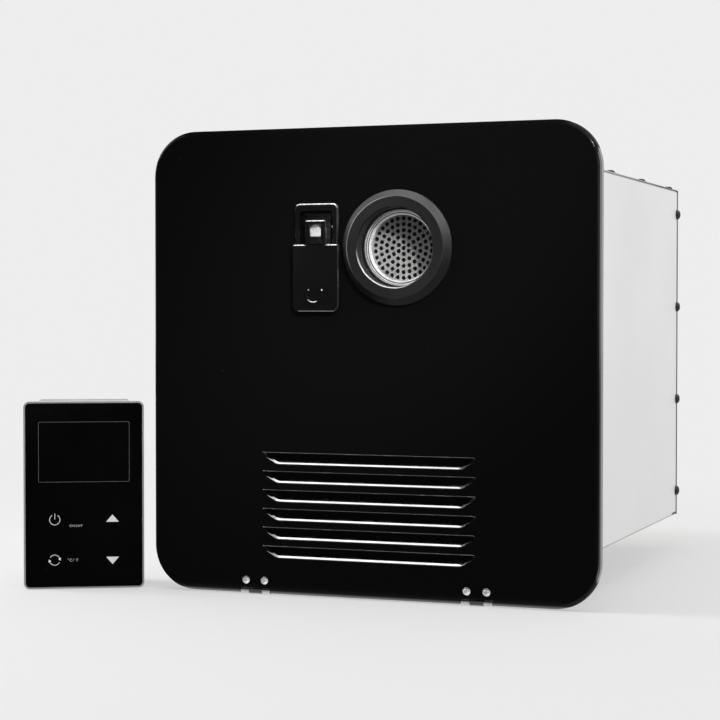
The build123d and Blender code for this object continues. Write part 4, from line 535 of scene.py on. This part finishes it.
def bead(name, path, section, sizes, finish, body):
    """Sweeps a section along a path on the door: its x points left of the path, its y out of the door."""
    vertices = []
    for index, (x, y, z) in enumerate(path):
        before, after = path[max(index - 1, 0)], path[min(index + 1, len(path) - 1)]
        run = Vector((after[0] - before[0], 0.0, after[2] - before[2])).normalized()
        left = Vector((-run.z, 0.0, run.x))
        for across, proud in section:
            offset = left * across * sizes[index] + Vector((0.0, -proud * sizes[index], 0.0))
            vertices.append((Vector((x, y, z)) + offset) * MM)
    return piece(name, vertices, grid_faces(len(path), len(section)), finish, body, smooth=50)


# ------------------------------------------------------------------ cross-head screws
SCREW_HEAD_R, SCREW_RISE, CROWN_POWER = 4.8, 3.4, 3.2
RECESS_REACH, RECESS_HALF, RECESS_DEPTH, RECESS_TAPER = 2.7, 0.75, 1.5, 0.35
SCREW_SHANK_R, SCREW_SHANK_LENGTH = 2.0, 8.0
SHANK_PROFILE = [(SCREW_SHANK_R, 0.0), (SCREW_SHANK_R, -SCREW_SHANK_LENGTH), (0.0, -SCREW_SHANK_LENGTH)]
SCREW_RINGS, SCREW_SPOKES = 30, 72
SIDE_X, SIDE_SCREW_Y = 161.0, 422.0
SIDE_SCREW_FOOT, SIDE_SCREW_PITCH = 56.5, 90.0
SIDE_SCREW_Z = [SIDE_SCREW_FOOT + SIDE_SCREW_PITCH * i for i in range(4)]
SIDE_SPIN = 0.37
TOP_X, TOP_Z = 153.0, 350.5
TOP_SCREW_REAR, TOP_SCREW_PITCH = 417.0, 121.0
TOP_SCREW_Y = [TOP_SCREW_REAR - TOP_SCREW_PITCH * i for i in range(4)]
TOP_SPIN = 0.53


def head_height(radius):
    """Height of the pan head's crown above its seat at a distance from its axis."""
    share = min(radius / SCREW_HEAD_R, 1.0)
    return SCREW_RISE * (1.0 - share**CROWN_POWER) ** 0.5


def screw(origin, turn):
    """Vertices and faces of one pan head with a cross recess and its shank, along the turn's Z."""
    vertices = []
    for ring in range(SCREW_RINGS + 1):
        radius = SCREW_HEAD_R * ring / SCREW_RINGS
        recess = RECESS_DEPTH * (1.0 - RECESS_TAPER * radius / RECESS_REACH)
        for x, y in circle(radius, SCREW_SPOKES):
            height = head_height(radius)
            if min(abs(x), abs(y)) < RECESS_HALF and radius < RECESS_REACH:
                height -= recess
            vertices.append(origin + turn @ Vector((x, y, height)) * MM)
    for radius, height in SHANK_PROFILE:
        vertices += [origin + turn @ Vector((x, y, height)) * MM for x, y in circle(radius, SCREW_SPOKES)]
    return vertices, grid_faces(SCREW_RINGS + 1 + len(SHANK_PROFILE), SCREW_SPOKES)


def screw_set(name, node, places, finish):
    """All the screws of one CAD node as one piece that replaces it."""
    vertices, faces = [], []
    for origin, turn in places:
        points, quads = screw(Vector(origin) * MM, turn)
        faces += [[index + len(vertices) for index in quad] for quad in quads]
        vertices += points
    made = piece(name, vertices, faces, finish, "cabinet", smooth=40)
    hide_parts(node)


side_places, top_places = [], []
for side in (-1, 1):
    outwards = Matrix.Rotation(side * math.pi / 2, 3, "Y")
    for height in SIDE_SCREW_Z:
        spin = Matrix.Rotation(height * SIDE_SPIN + side, 3, "Z")
        side_places.append(((side * SIDE_X, SIDE_SCREW_Y, height), outwards @ spin))
    for depth in TOP_SCREW_Y:
        spin = Matrix.Rotation(depth * TOP_SPIN + side, 3, "Z")
        top_places.append(((side * TOP_X, depth, TOP_Z), spin))
screw_set("side_screw_heads", "rear_panel_screws", side_places, screw_zinc)
screw_set("top_screw_heads", "top_cover_screws", top_places, shaded_top_screw_zinc)

# ------------------------------------------------------------------ ports
GAS_PORT_X, COLD_PORT_X, HOT_PORT_X = -118.0, 104.0, 140.0
PORT_Z, PORT_SPOKES = 72.0, 96
SHANK_START = 404.0
NUT_R, NUT_START, NUT_END, NUT_STEPS = 15.0, 428.0, 437.0, 10
THREAD_R, THREAD_END, THREAD_STEPS = 10.4, 457.0, 110
THREAD_PITCH, THREAD_DEPTH, THREAD_FADE, FADE_LENGTH = 1.8, 0.9, 0.8, 1.0
BORE_R, BORE_DEPTH, BORE_CHAMFER = 6.0, 22.0, 1.0
NUT_FACE_SHARE, NUT_CHAMFER_SLOPE = 1.02, 1.6


def nut_radius(angle, depth):
    """Hexagon with chamfered corners at both faces."""
    flat = NUT_R * math.cos(math.pi / 6)
    hexagon = flat / math.cos((angle % (math.pi / 3)) - math.pi / 6)
    edge = min(depth - NUT_START, NUT_END - depth)
    return min(hexagon, flat * NUT_FACE_SHARE + edge * NUT_CHAMFER_SLOPE)


def thread_radius(angle, depth):
    """Helical V thread that tapers off near the port's end."""
    phase = (depth / THREAD_PITCH - angle / (2 * math.pi)) % 1.0
    taper = max(0.0, depth - THREAD_END + FADE_LENGTH) * THREAD_FADE
    return THREAD_R - THREAD_DEPTH * abs(2 * phase - 1) - taper


def port(name, x, node):
    """One water or gas port: plain shank, hexagon nut, helical thread and bored end."""
    profile = [(SHANK_START, 0.0), (SHANK_START, THREAD_R), (NUT_START, THREAD_R), (NUT_START, nut_radius)]
    for step in range(NUT_STEPS + 1):
        profile.append((NUT_START + (NUT_END - NUT_START) * step / NUT_STEPS, nut_radius))
    for step in range(THREAD_STEPS + 1):
        profile.append((NUT_END + (THREAD_END - NUT_END) * step / THREAD_STEPS, thread_radius))
    profile += [(THREAD_END, BORE_R + BORE_CHAMFER), (THREAD_END - BORE_CHAMFER, BORE_R)]
    profile += [(THREAD_END - BORE_DEPTH, BORE_R), (THREAD_END - BORE_DEPTH, 0.0)]
    vertices = []
    for depth, rule in profile:
        for spoke in range(PORT_SPOKES):
            angle = 2 * math.pi * spoke / PORT_SPOKES
            radius = rule(angle, depth) if callable(rule) else rule
            across, up = x + radius * math.cos(angle), PORT_Z + radius * math.sin(angle)
            vertices.append(Vector((across, depth, up)) * MM)
    faces = grid_faces(len(profile), PORT_SPOKES, flip=True)
    made = piece(name, vertices, faces, port_brass, "cabinet", smooth=28)
    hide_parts(node)


port("gas_port", GAS_PORT_X, "gas_inlet_fitting")
port("cold_port", COLD_PORT_X, "cold_inlet_fitting")
port("hot_port", HOT_PORT_X, "hot_outlet_fitting")

# ------------------------------------------------------------------ louvres
TOP_LOUVRE, LOUVRE_PITCH, LOUVRE_COUNT = 117.0, 15.35, 6
LOUVRE_TOPS = [TOP_LOUVRE - LOUVRE_PITCH * i for i in range(LOUVRE_COUNT)]
SLIT_HALF, FOOT_HALF, LOUVRE_DROP = 91.0, 79.25, 8.4
SLANT = math.atan2(LOUVRE_DROP, SLIT_HALF - FOOT_HALF)
FOOT_BEND_R, CORNER_STEPS = 9.0, 12
SLANT_STEPS, SLANT_STEP_ACROSS, SLANT_STEP_UP = 8, 1.1, 0.62
BEND_REACH, FACET_STEPS = 0.78, 6
FACET = [BEND_REACH * (2 * step / FACET_STEPS - 1) for step in range(FACET_STEPS + 1)]
BEND_SECTION = [(-1.6, -0.05), (-0.92, BEND_REACH)] + [(across, -across) for across in FACET]
BEND_SECTION += [(0.5, -1.3), (-0.5, -0.5)]
BEND_RISE, BEND_FALL = 9, 16
LIP_R, LIP_STEP, LIP_STEPS = 0.3, 4.0, 45
LIP_BLUNT_END, LIP_TAIL = [0.3, 2.2], [0.2]


def foot_path(top):
    """Left slant, corner, foot, corner and right slant of one louvre."""
    foot = top - LOUVRE_DROP
    corner = FOOT_BEND_R * math.tan(SLANT / 2)
    half = [(FOOT_HALF - corner, foot)]
    for step in range(1, CORNER_STEPS + 1):
        angle = SLANT * step / CORNER_STEPS
        across = FOOT_HALF - corner + FOOT_BEND_R * math.sin(angle)
        half.append((across, foot + FOOT_BEND_R * (1 - math.cos(angle))))
    end_across, end_up = half[-1]
    for step in range(1, SLANT_STEPS + 1):
        across = end_across + math.cos(SLANT) * SLANT_STEP_ACROSS * step
        half.append((across, end_up + math.sin(SLANT) * SLANT_STEP_UP * step))
    return [(-x, DOOR_FRONT, z) for x, z in reversed(half)] + [(x, DOOR_FRONT, z) for x, z in half]


def slit_path(top):
    """Upper edge of one slit, from its blunt left end to its turned-down right end."""
    across_and_up = [(-SLIT_HALF - 0.8, top), (-SLIT_HALF - 0.2, top)]
    across_and_up += [(-SLIT_HALF + 3.2 + LIP_STEP * i, top) for i in range(LIP_STEPS)]
    across_and_up += [(SLIT_HALF - 1.2, top - 0.3), (SLIT_HALF - 1.0, top - 1.1)]
    across_and_up.append((SLIT_HALF - 2.2, top - 2.2))
    return [(x, DOOR_FRONT, z) for x, z in across_and_up]


for number, top in enumerate(LOUVRE_TOPS, 1):
    foot = foot_path(top)
    thickness = faded(foot, BEND_RISE, BEND_FALL)
    bead(f"louvre_bend_{number}", foot, BEND_SECTION, thickness, bend_enamel, "door")
    slit = slit_path(top)
    even = len(slit) - len(LIP_BLUNT_END) - len(LIP_TAIL)
    thickness = LIP_BLUNT_END + [1.0] * even + LIP_TAIL
    bead(f"louvre_lip_{number}", slit, circle(LIP_R), thickness, lip_enamel, "door")

# ------------------------------------------------------------------ ridges rolled inside the exhaust cup
CUP_R, RIDGE_R, RIDGE_SINK = 27.0, 0.5, 0.1
RIDGE_DEPTHS = (-2.2, -0.7, 0.8)
RIDGE_STEPS, RIDGE_SPOKES = 6, 96
for number, depth in enumerate(RIDGE_DEPTHS, 1):
    vertices = []
    for step in range(RIDGE_STEPS + 1):
        bulge = math.pi * step / RIDGE_STEPS
        radius = CUP_R + RIDGE_SINK - RIDGE_R * math.sin(bulge)
        for x, z in circle(radius, RIDGE_SPOKES):
            vertices.append(Vector((EXHAUST_X + x, depth - RIDGE_R * math.cos(bulge), EXHAUST_Z + z)) * MM)
    faces = grid_faces(RIDGE_STEPS + 1, RIDGE_SPOKES)
    piece(f"cup_ridge_{number}", vertices, faces, cup_steel, "cabinet", smooth=60)

# ------------------------------------------------------------------ latch: stud and pin ends, painted edge highlights
DOME_RINGS, DOME_SPOKES = 6, 24
SLIDE_FRONT = -17.25
LEFT_STUD_X, RIGHT_STUD_X = -48.7, -37.3
STUD_END_Y, STUD_Z = SLIDE_FRONT - 0.5, 249.5
RECESS_PIN_X, RECESS_PIN_Z = -30.2, 300.4
GRIP_X, GRIP_Z, GRIP_R, GRIP_CREST_Y = -44.5, 246.4, 6.6, SLIDE_FRONT - 1.0
GRIP_START, GRIP_SWEEP, GRIP_STEPS = 212.0, 96.0, 24
GRIP_RISE, GRIP_FALL, HIGHLIGHT_FADE = 12, 6, 3
SLIDE_EDGE_Y, SLIDE_EDGE_Z, NECK_EDGE_Z = SLIDE_FRONT + 0.15, 285.65, 305.1
GRIP_HIGHLIGHT_R, SLIDE_HIGHLIGHT_R, BEZEL_HIGHLIGHT_R = 0.42, 0.5, 0.56
BEZEL_EDGE_Y, BEZEL_CORNER_Z, BEZEL_CORNER_R = -15.0, 314.3, 4.35
BEZEL_CORNERS = ((-57.0, 140.0), (-29.0, 90.0))
BEZEL_SWEEP, BEZEL_STEPS = -50.0, 8


def dome(name, place, radius, rise, body):
    """Domed steel pin end that faces the front."""
    x, y, z = place
    vertices = []
    for ring in range(DOME_RINGS + 1):
        tilt = math.pi / 2 * ring / DOME_RINGS
        for across, up in circle(radius * math.cos(tilt), DOME_SPOKES):
            vertices.append(Vector((x + across, y - rise * math.sin(tilt), z + up)) * MM)
    faces = grid_faces(DOME_RINGS + 1, DOME_SPOKES)
    piece(name, vertices, faces, bright_steel_and_highlight, body, smooth=60)


def edge_highlight(name, path, radius, body, rise=HIGHLIGHT_FADE, fall=HIGHLIGHT_FADE):
    """Bright steel line along a latch edge: a painted highlight, made to look like an edge rubbed through to
    the steel.
    """
    bead(name, path, circle(radius), faded(path, rise, fall), bright_steel_and_highlight, body)


def slide_line(left, right, z, steps=26):
    """Straight path from left to right along the slide's front edge."""
    return [(left + (right - left) * i / steps, SLIDE_EDGE_Y, z) for i in range(steps + 1)]


dome("left_stud_end", (LEFT_STUD_X, STUD_END_Y, STUD_Z), radius=0.5, rise=0.35, body="latch")
dome("right_stud_end", (RIGHT_STUD_X, STUD_END_Y, STUD_Z), radius=0.68, rise=0.4, body="latch")
dome("recess_pin_end", (RECESS_PIN_X, DOOR_FRONT, RECESS_PIN_Z), radius=0.8, rise=0.5, body="door")
# Painted highlights: bright steel lines on the grip's crest and on the slide's, neck's and bezel's edges
grip = arc(GRIP_X, GRIP_Z, GRIP_R, GRIP_START, GRIP_SWEEP, GRIP_STEPS)
grip_path = [(x, GRIP_CREST_Y, z) for x, z in grip]
edge_highlight("grip_crest", grip_path, GRIP_HIGHLIGHT_R, "latch", rise=GRIP_RISE, fall=GRIP_FALL)
edge_highlight("slide_edge_highlight", slide_line(-33.8, -24.0, SLIDE_EDGE_Z), SLIDE_HIGHLIGHT_R, "latch")
edge_highlight("slide_edge_highlight_left", slide_line(-62.3, -52.1, SLIDE_EDGE_Z), SLIDE_HIGHLIGHT_R, "latch")
edge_highlight("slide_neck_highlight", slide_line(-51.5, -34.5, NECK_EDGE_Z), SLIDE_HIGHLIGHT_R, "latch")
bezel_path = []
for centre, start in BEZEL_CORNERS:
    corner = arc(centre, BEZEL_CORNER_Z, BEZEL_CORNER_R, start, BEZEL_SWEEP, BEZEL_STEPS)
    bezel_path += [(x, BEZEL_EDGE_Y, z) for x, z in corner]
edge_highlight("bezel_edge_highlight", bezel_path, BEZEL_HIGHLIGHT_R, "door")

# ------------------------------------------------------------------ return spring behind the door
# An oval coil of wire whose end turns lie flat against the seats
COIL_X, COIL_Y = -43.0, -8.1
COIL_FOOT, COIL_TOP = 255.52, 275.98
COIL_HALF_WIDTH, COIL_HALF_DEPTH, COIL_WIRE_R = 3.9, 1.13, 0.36
COIL_TURNS, DEAD_TURNS = 9, 1.0
COIL_STEPS, WIRE_SPOKES = 36 * COIL_TURNS, 8
SHORT_STEP = 0.004


def coil_centre(turn):
    """Wire's centre after some turns: the first and last turn lie flat against the seats."""
    live = min(max((turn - DEAD_TURNS) / (COIL_TURNS - 2 * DEAD_TURNS), 0.0), 1.0)
    flat = min(turn, DEAD_TURNS) + max(turn - COIL_TURNS + DEAD_TURNS, 0.0)
    span = COIL_TOP - COIL_FOOT - 2 * COIL_WIRE_R - 4 * COIL_WIRE_R * DEAD_TURNS
    angle = 2 * math.pi * turn
    x = COIL_X + COIL_HALF_WIDTH * math.cos(angle)
    y = COIL_Y + COIL_HALF_DEPTH * math.sin(angle)
    return Vector((x, y, COIL_FOOT + COIL_WIRE_R + live * span + 2 * COIL_WIRE_R * flat))


coil_vertices = []
for step in range(COIL_STEPS + 1):
    turn = COIL_TURNS * step / COIL_STEPS
    run = (coil_centre(turn + SHORT_STEP) - coil_centre(turn - SHORT_STEP)).normalized()
    side = run.cross(Vector((0.0, 0.0, 1.0))).normalized()
    above = side.cross(run)
    for x, y in circle(COIL_WIRE_R, WIRE_SPOKES):
        coil_vertices.append((coil_centre(turn) + side * x + above * y) * MM)
coil_faces = grid_faces(COIL_STEPS + 1, WIRE_SPOKES, flip=True)
wire_start = list(range(WIRE_SPOKES))
coil_faces += [wire_start, [COIL_STEPS * WIRE_SPOKES + i for i in reversed(wire_start)]]
coil = piece("latch_return_coil", coil_vertices, coil_faces, spring_steel, "door", smooth=60)
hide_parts("latch_spring")
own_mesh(coil)

# ------------------------------------------------------------------ printed front of the wall controller
CONTROLLER_X, CONTROLLER_Y = -246.0, -32.0
CONTROLLER_TURN = math.radians(28.0)
ACROSS = Vector((math.cos(CONTROLLER_TURN), math.sin(CONTROLLER_TURN), 0.0))
UPWARD = Vector((0.0, 0.0, 1.0))
OUTWARD = Vector((math.sin(CONTROLLER_TURN), -math.cos(CONTROLLER_TURN), 0.0))
INK_LIFT = 0.03


def on_front(across, up):
    """Point on the controller's front glass, in metres, from millimetres across it and up it."""
    base = Vector((CONTROLLER_X, CONTROLLER_Y, 0.0)) + ACROSS * across + OUTWARD * INK_LIFT
    return (base + UPWARD * up) * MM


def printed(name, outlines, ink):
    """Flat print made of convex outlines given across and up the front."""
    vertices, faces = [], []
    for outline in outlines:
        faces.append([len(vertices) + i for i in range(len(outline))])
        vertices += [on_front(*point) for point in outline]
    return piece(name, vertices, faces, ink, "cabinet")


def stroke(points, width):
    """Convex quads that follow a line of points with one width."""
    quads = []
    for (x0, y0), (x1, y1) in zip(points, points[1:]):
        length = math.hypot(x1 - x0, y1 - y0)
        nx, ny = -(y1 - y0) / length * width / 2, (x1 - x0) / length * width / 2
        quads.append([(x0 - nx, y0 - ny), (x1 - nx, y1 - ny), (x1 + nx, y1 + ny), (x0 + nx, y0 + ny)])
    return quads


# Power sign: an open ring with a stem through its gap
MARK_R, MARK_LINE = 4.3, 0.48
POWER_X, POWER_UP = -24.3, 58.0
POWER_START, POWER_SWEEP = 122, 296
STEM_FOOT, STEM_TOP = POWER_UP + 0.4, POWER_UP + 5.2
power_ring = arc(POWER_X, POWER_UP, MARK_R, POWER_START, POWER_SWEEP)
power_stem = [(POWER_X, STEM_FOOT), (POWER_X, STEM_TOP)]
printed("power_mark", stroke(power_ring, MARK_LINE) + stroke(power_stem, MARK_LINE), print_white)

# Circling-arrows sign: two arcs, each with an arrow head where it starts
CYCLE_X, CYCLE_UP = -24.5, 24.2
ARROW_TURN, ARROW_SWEEP, ARROW_HALF, ARROW_LENGTH = 20, 132, 1.35, 2.1
cycle_mark = []
for half_turn in (0, 180):
    start = ARROW_TURN + half_turn
    cycle_mark += stroke(arc(CYCLE_X, CYCLE_UP, MARK_R, start, ARROW_SWEEP), MARK_LINE)
    radial = Vector((math.cos(math.radians(start)), math.sin(math.radians(start))))
    forward = Vector((radial.y, -radial.x))
    tip = Vector((CYCLE_X, CYCLE_UP)) + radial * MARK_R
    cycle_mark.append([tip + radial * ARROW_HALF, tip - radial * ARROW_HALF, tip + forward * ARROW_LENGTH])
printed("cycle_mark", cycle_mark, print_white)

# Triangles that raise and lower the temperature
TRIANGLE_LEFT, TRIANGLE_PEAK, TRIANGLE_RIGHT, TRIANGLE_HEIGHT = 18.2, 23.55, 28.9, 6.2
RAISE_FOOT, LOWER_FOOT = 55.7, 26.3
raise_peak = (TRIANGLE_PEAK, RAISE_FOOT + TRIANGLE_HEIGHT)
lower_peak = (TRIANGLE_PEAK, LOWER_FOOT - TRIANGLE_HEIGHT)
printed("raise_mark", [[(TRIANGLE_LEFT, RAISE_FOOT), (TRIANGLE_RIGHT, RAISE_FOOT), raise_peak]], print_white)
printed("lower_mark", [[(TRIANGLE_LEFT, LOWER_FOOT), lower_peak, (TRIANGLE_RIGHT, LOWER_FOOT)]], print_white)

# Thin line around the display, with rounded corners
FRAME_LEFT, FRAME_RIGHT, FRAME_LOW, FRAME_HIGH, FRAME_CORNER = -37.6, 37.7, 89.6, 139.8, 1.0
FRAME_LINE, FRAME_CORNER_STEPS = 0.2, 5
inner_left, inner_right = FRAME_LEFT + FRAME_CORNER, FRAME_RIGHT - FRAME_CORNER
inner_low, inner_high = FRAME_LOW + FRAME_CORNER, FRAME_HIGH - FRAME_CORNER
corners = [(inner_right, inner_high), (inner_left, inner_high)]
corners += [(inner_left, inner_low), (inner_right, inner_low)]
frame_line = []
for quarter, corner in enumerate(corners):
    frame_line += arc(*corner, FRAME_CORNER, 90 * quarter, 90, FRAME_CORNER_STEPS)
printed("display_frame", stroke(frame_line + frame_line[:1], FRAME_LINE), print_grey)

# Generic words beside the two signs
CAPITAL_SHARE, INK_THINNING = 0.7, 0.055


def lettering(name, words, left, baseline, height, spread):
    """Generic lettering printed on the front, with capitals of one height in millimetres."""
    curve = bpy.data.curves.new(name, "FONT")
    curve.body = words
    curve.size = height * MM / CAPITAL_SHARE
    curve.offset = -INK_THINNING * MM
    curve.space_character = spread
    curve.materials.append(print_white.material)
    text = bpy.data.objects.new(name, curve)
    bpy.context.scene.collection.objects.link(text)
    columns = (ACROSS, UPWARD, OUTWARD, on_front(left, baseline))
    text.matrix_world = Matrix([[column[row] for column in columns] for row in range(3)]).to_4x4()
    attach(text, "cabinet")


lettering("on_off_words", "ON/OFF", left=-12.3, baseline=51.8, height=2.0, spread=1.08)
lettering("degree_words", "°C/°F", left=-13.9, baseline=22.8, height=2.4, spread=1.18)

# ------------------------------------------------------------------ studio floor
BACKGROUND = (0.85, 0.85, 0.85, 1.0)
FLOOR_HALF = 9
DARK_GLOW, BRIGHT_GLOW = 0.05, 2.05
floor_corners = [(-FLOOR_HALF, -FLOOR_HALF, 0), (FLOOR_HALF, -FLOOR_HALF, 0)]
floor_corners += [(FLOOR_HALF, FLOOR_HALF, 0), (-FLOOR_HALF, FLOOR_HALF, 0)]
floor_mesh = bpy.data.meshes.new("studio_floor")
floor_mesh.from_pydata(floor_corners, [], [[0, 1, 2, 3]])
studio_floor = bpy.data.objects.new("studio_floor", floor_mesh)
bpy.context.scene.collection.objects.link(studio_floor)

# The floor fades to the background, and gloss sees a bright strip along the door's foot in it
floor_finish = Finish("floor_finish", grey(0.7), 0.9)
floor_mesh.materials.append(floor_finish.material)
back, right = floor_finish.axis("Y"), floor_finish.axis("X")
foot_glow = back.ramp(-0.06, -0.02) * back.ramp(0.0, 0.05, 1.0, 0.42) * right.ramp(-0.185, -0.165)
dark_glow = floor_finish.make("ShaderNodeEmission", sockets={"Strength": DARK_GLOW}).outputs[0]
bright_glow = floor_finish.make("ShaderNodeEmission", sockets={"Strength": BRIGHT_GLOW}).outputs[0]
mirrored_floor = floor_finish.either(foot_glow, dark_glow, bright_glow)
distance = floor_finish.make("ShaderNodeVectorMath", {"operation": "LENGTH"}, {0: floor_finish.position})
far = Field(floor_finish, distance.outputs["Value"]).ramp(0.1, 1.3, 0.5, 1.0)
far_glow = floor_finish.make("ShaderNodeEmission", sockets={"Color": BACKGROUND}).outputs[0]
faded_floor = floor_finish.either(far, floor_finish.surface.outputs[0], far_glow)
floor_rays = floor_finish.make("ShaderNodeLightPath").outputs
seen_floor = floor_finish.either(floor_rays["Is Glossy Ray"], faded_floor, mirrored_floor)
floor_finish.join(seen_floor, floor_finish.tree.nodes["Material Output"].inputs["Surface"])

# ------------------------------------------------------------------ studio world
# Gloss sees a bright sky, a pale wall behind and a dim one on the right; the camera a plain backdrop
world = bpy.data.worlds.new("studio_world")
bpy.context.scene.world = world
world.use_nodes = True
sky = Shader(world.node_tree)
sky.tree.nodes.clear()
ahead = sky.make("ShaderNodeTexCoord").outputs["Generated"]
overhead = sky.part(ahead, "Z").ramp(0.1, 0.8, 0.0, 2.6)
behind = sky.part(ahead, "Y").ramp(-0.5, 0.4, 0.02, 1.1)
rightward = sky.part(ahead, "X").ramp(0.0, 0.7, 0.0, 0.4)
mirrored_glow = overhead.or_brighter(behind.or_brighter(rightward))
backdrop = sky.make("ShaderNodeBackground", sockets={"Color": BACKGROUND}).outputs[0]
mirrored = sky.make("ShaderNodeBackground", sockets={"Color": mirrored_glow}).outputs[0]
ambient = sky.make("ShaderNodeBackground", sockets={"Color": (*grey(0.55), 1.0)}).outputs[0]
sky_rays = sky.make("ShaderNodeLightPath").outputs
lit = sky.either(sky_rays["Is Glossy Ray"], ambient, mirrored)
sky.make("ShaderNodeOutputWorld", sockets={"Surface": sky.either(sky_rays["Is Camera Ray"], lit, backdrop)})


# ------------------------------------------------------------------ studio lamps
def hang(name, lamp, place, aim):
    """Puts a lamp at a place and points it at another."""
    hung = bpy.data.objects.new(name, lamp)
    hung.location = place
    hung.rotation_euler = (Vector(aim) - Vector(place)).to_track_quat("-Z", "Y").to_euler()
    bpy.context.scene.collection.objects.link(hung)


def softbox(name, place, aim, width, depth, watts):
    """Rectangular area lamp that points at a place."""
    lamp = bpy.data.lights.new(name, "AREA")
    lamp.shape = "RECTANGLE"
    lamp.size = width
    lamp.size_y = depth
    lamp.energy = watts
    hang(name, lamp, place, aim)


softbox("overhead_softbox", (-0.5, -0.24, 2.1), (-0.45, 0.0, 0.0), width=2.0, depth=0.34, watts=17.5)
softbox("right_softbox", (2.3, 0.4, 0.7), (0.15, 0.25, 0.12), width=1.2, depth=1.2, watts=13.0)
softbox("left_softbox", (-1.9, -0.3, 1.3), (-0.1, 0.0, 0.2), width=0.8, depth=0.8, watts=22.0)
snoot_lamp = bpy.data.lights.new("exhaust_snoot", "SPOT")
snoot_lamp.energy = 300.0
snoot_lamp.spot_size = math.radians(8.5)
snoot_lamp.spot_blend = 1.0
snoot_lamp.shadow_soft_size = 0.14
hang("exhaust_snoot", snoot_lamp, (0.71, -0.75, 0.94), (EXHAUST_X * MM, 0.0, EXHAUST_Z * MM))

# ------------------------------------------------------------------ camera
CAMERA_PLACE = (0.5473, -1.4806, 0.2339)
CAMERA_DIP, CAMERA_TURN = 1.48, 20.66
lens = bpy.data.cameras.new("studio_camera")
lens.lens = 97.8
lens.sensor_width = 36.0
lens.clip_start = 0.05
lens.clip_end = 60.0
studio_camera = bpy.data.objects.new("studio_camera", lens)
studio_camera.location = CAMERA_PLACE
studio_camera.rotation_euler = (math.radians(90.0 - CAMERA_DIP), 0.0, math.radians(CAMERA_TURN))
bpy.context.scene.collection.objects.link(studio_camera)
bpy.context.scene.camera = studio_camera
bpy.context.scene.view_settings.view_transform = "Standard"
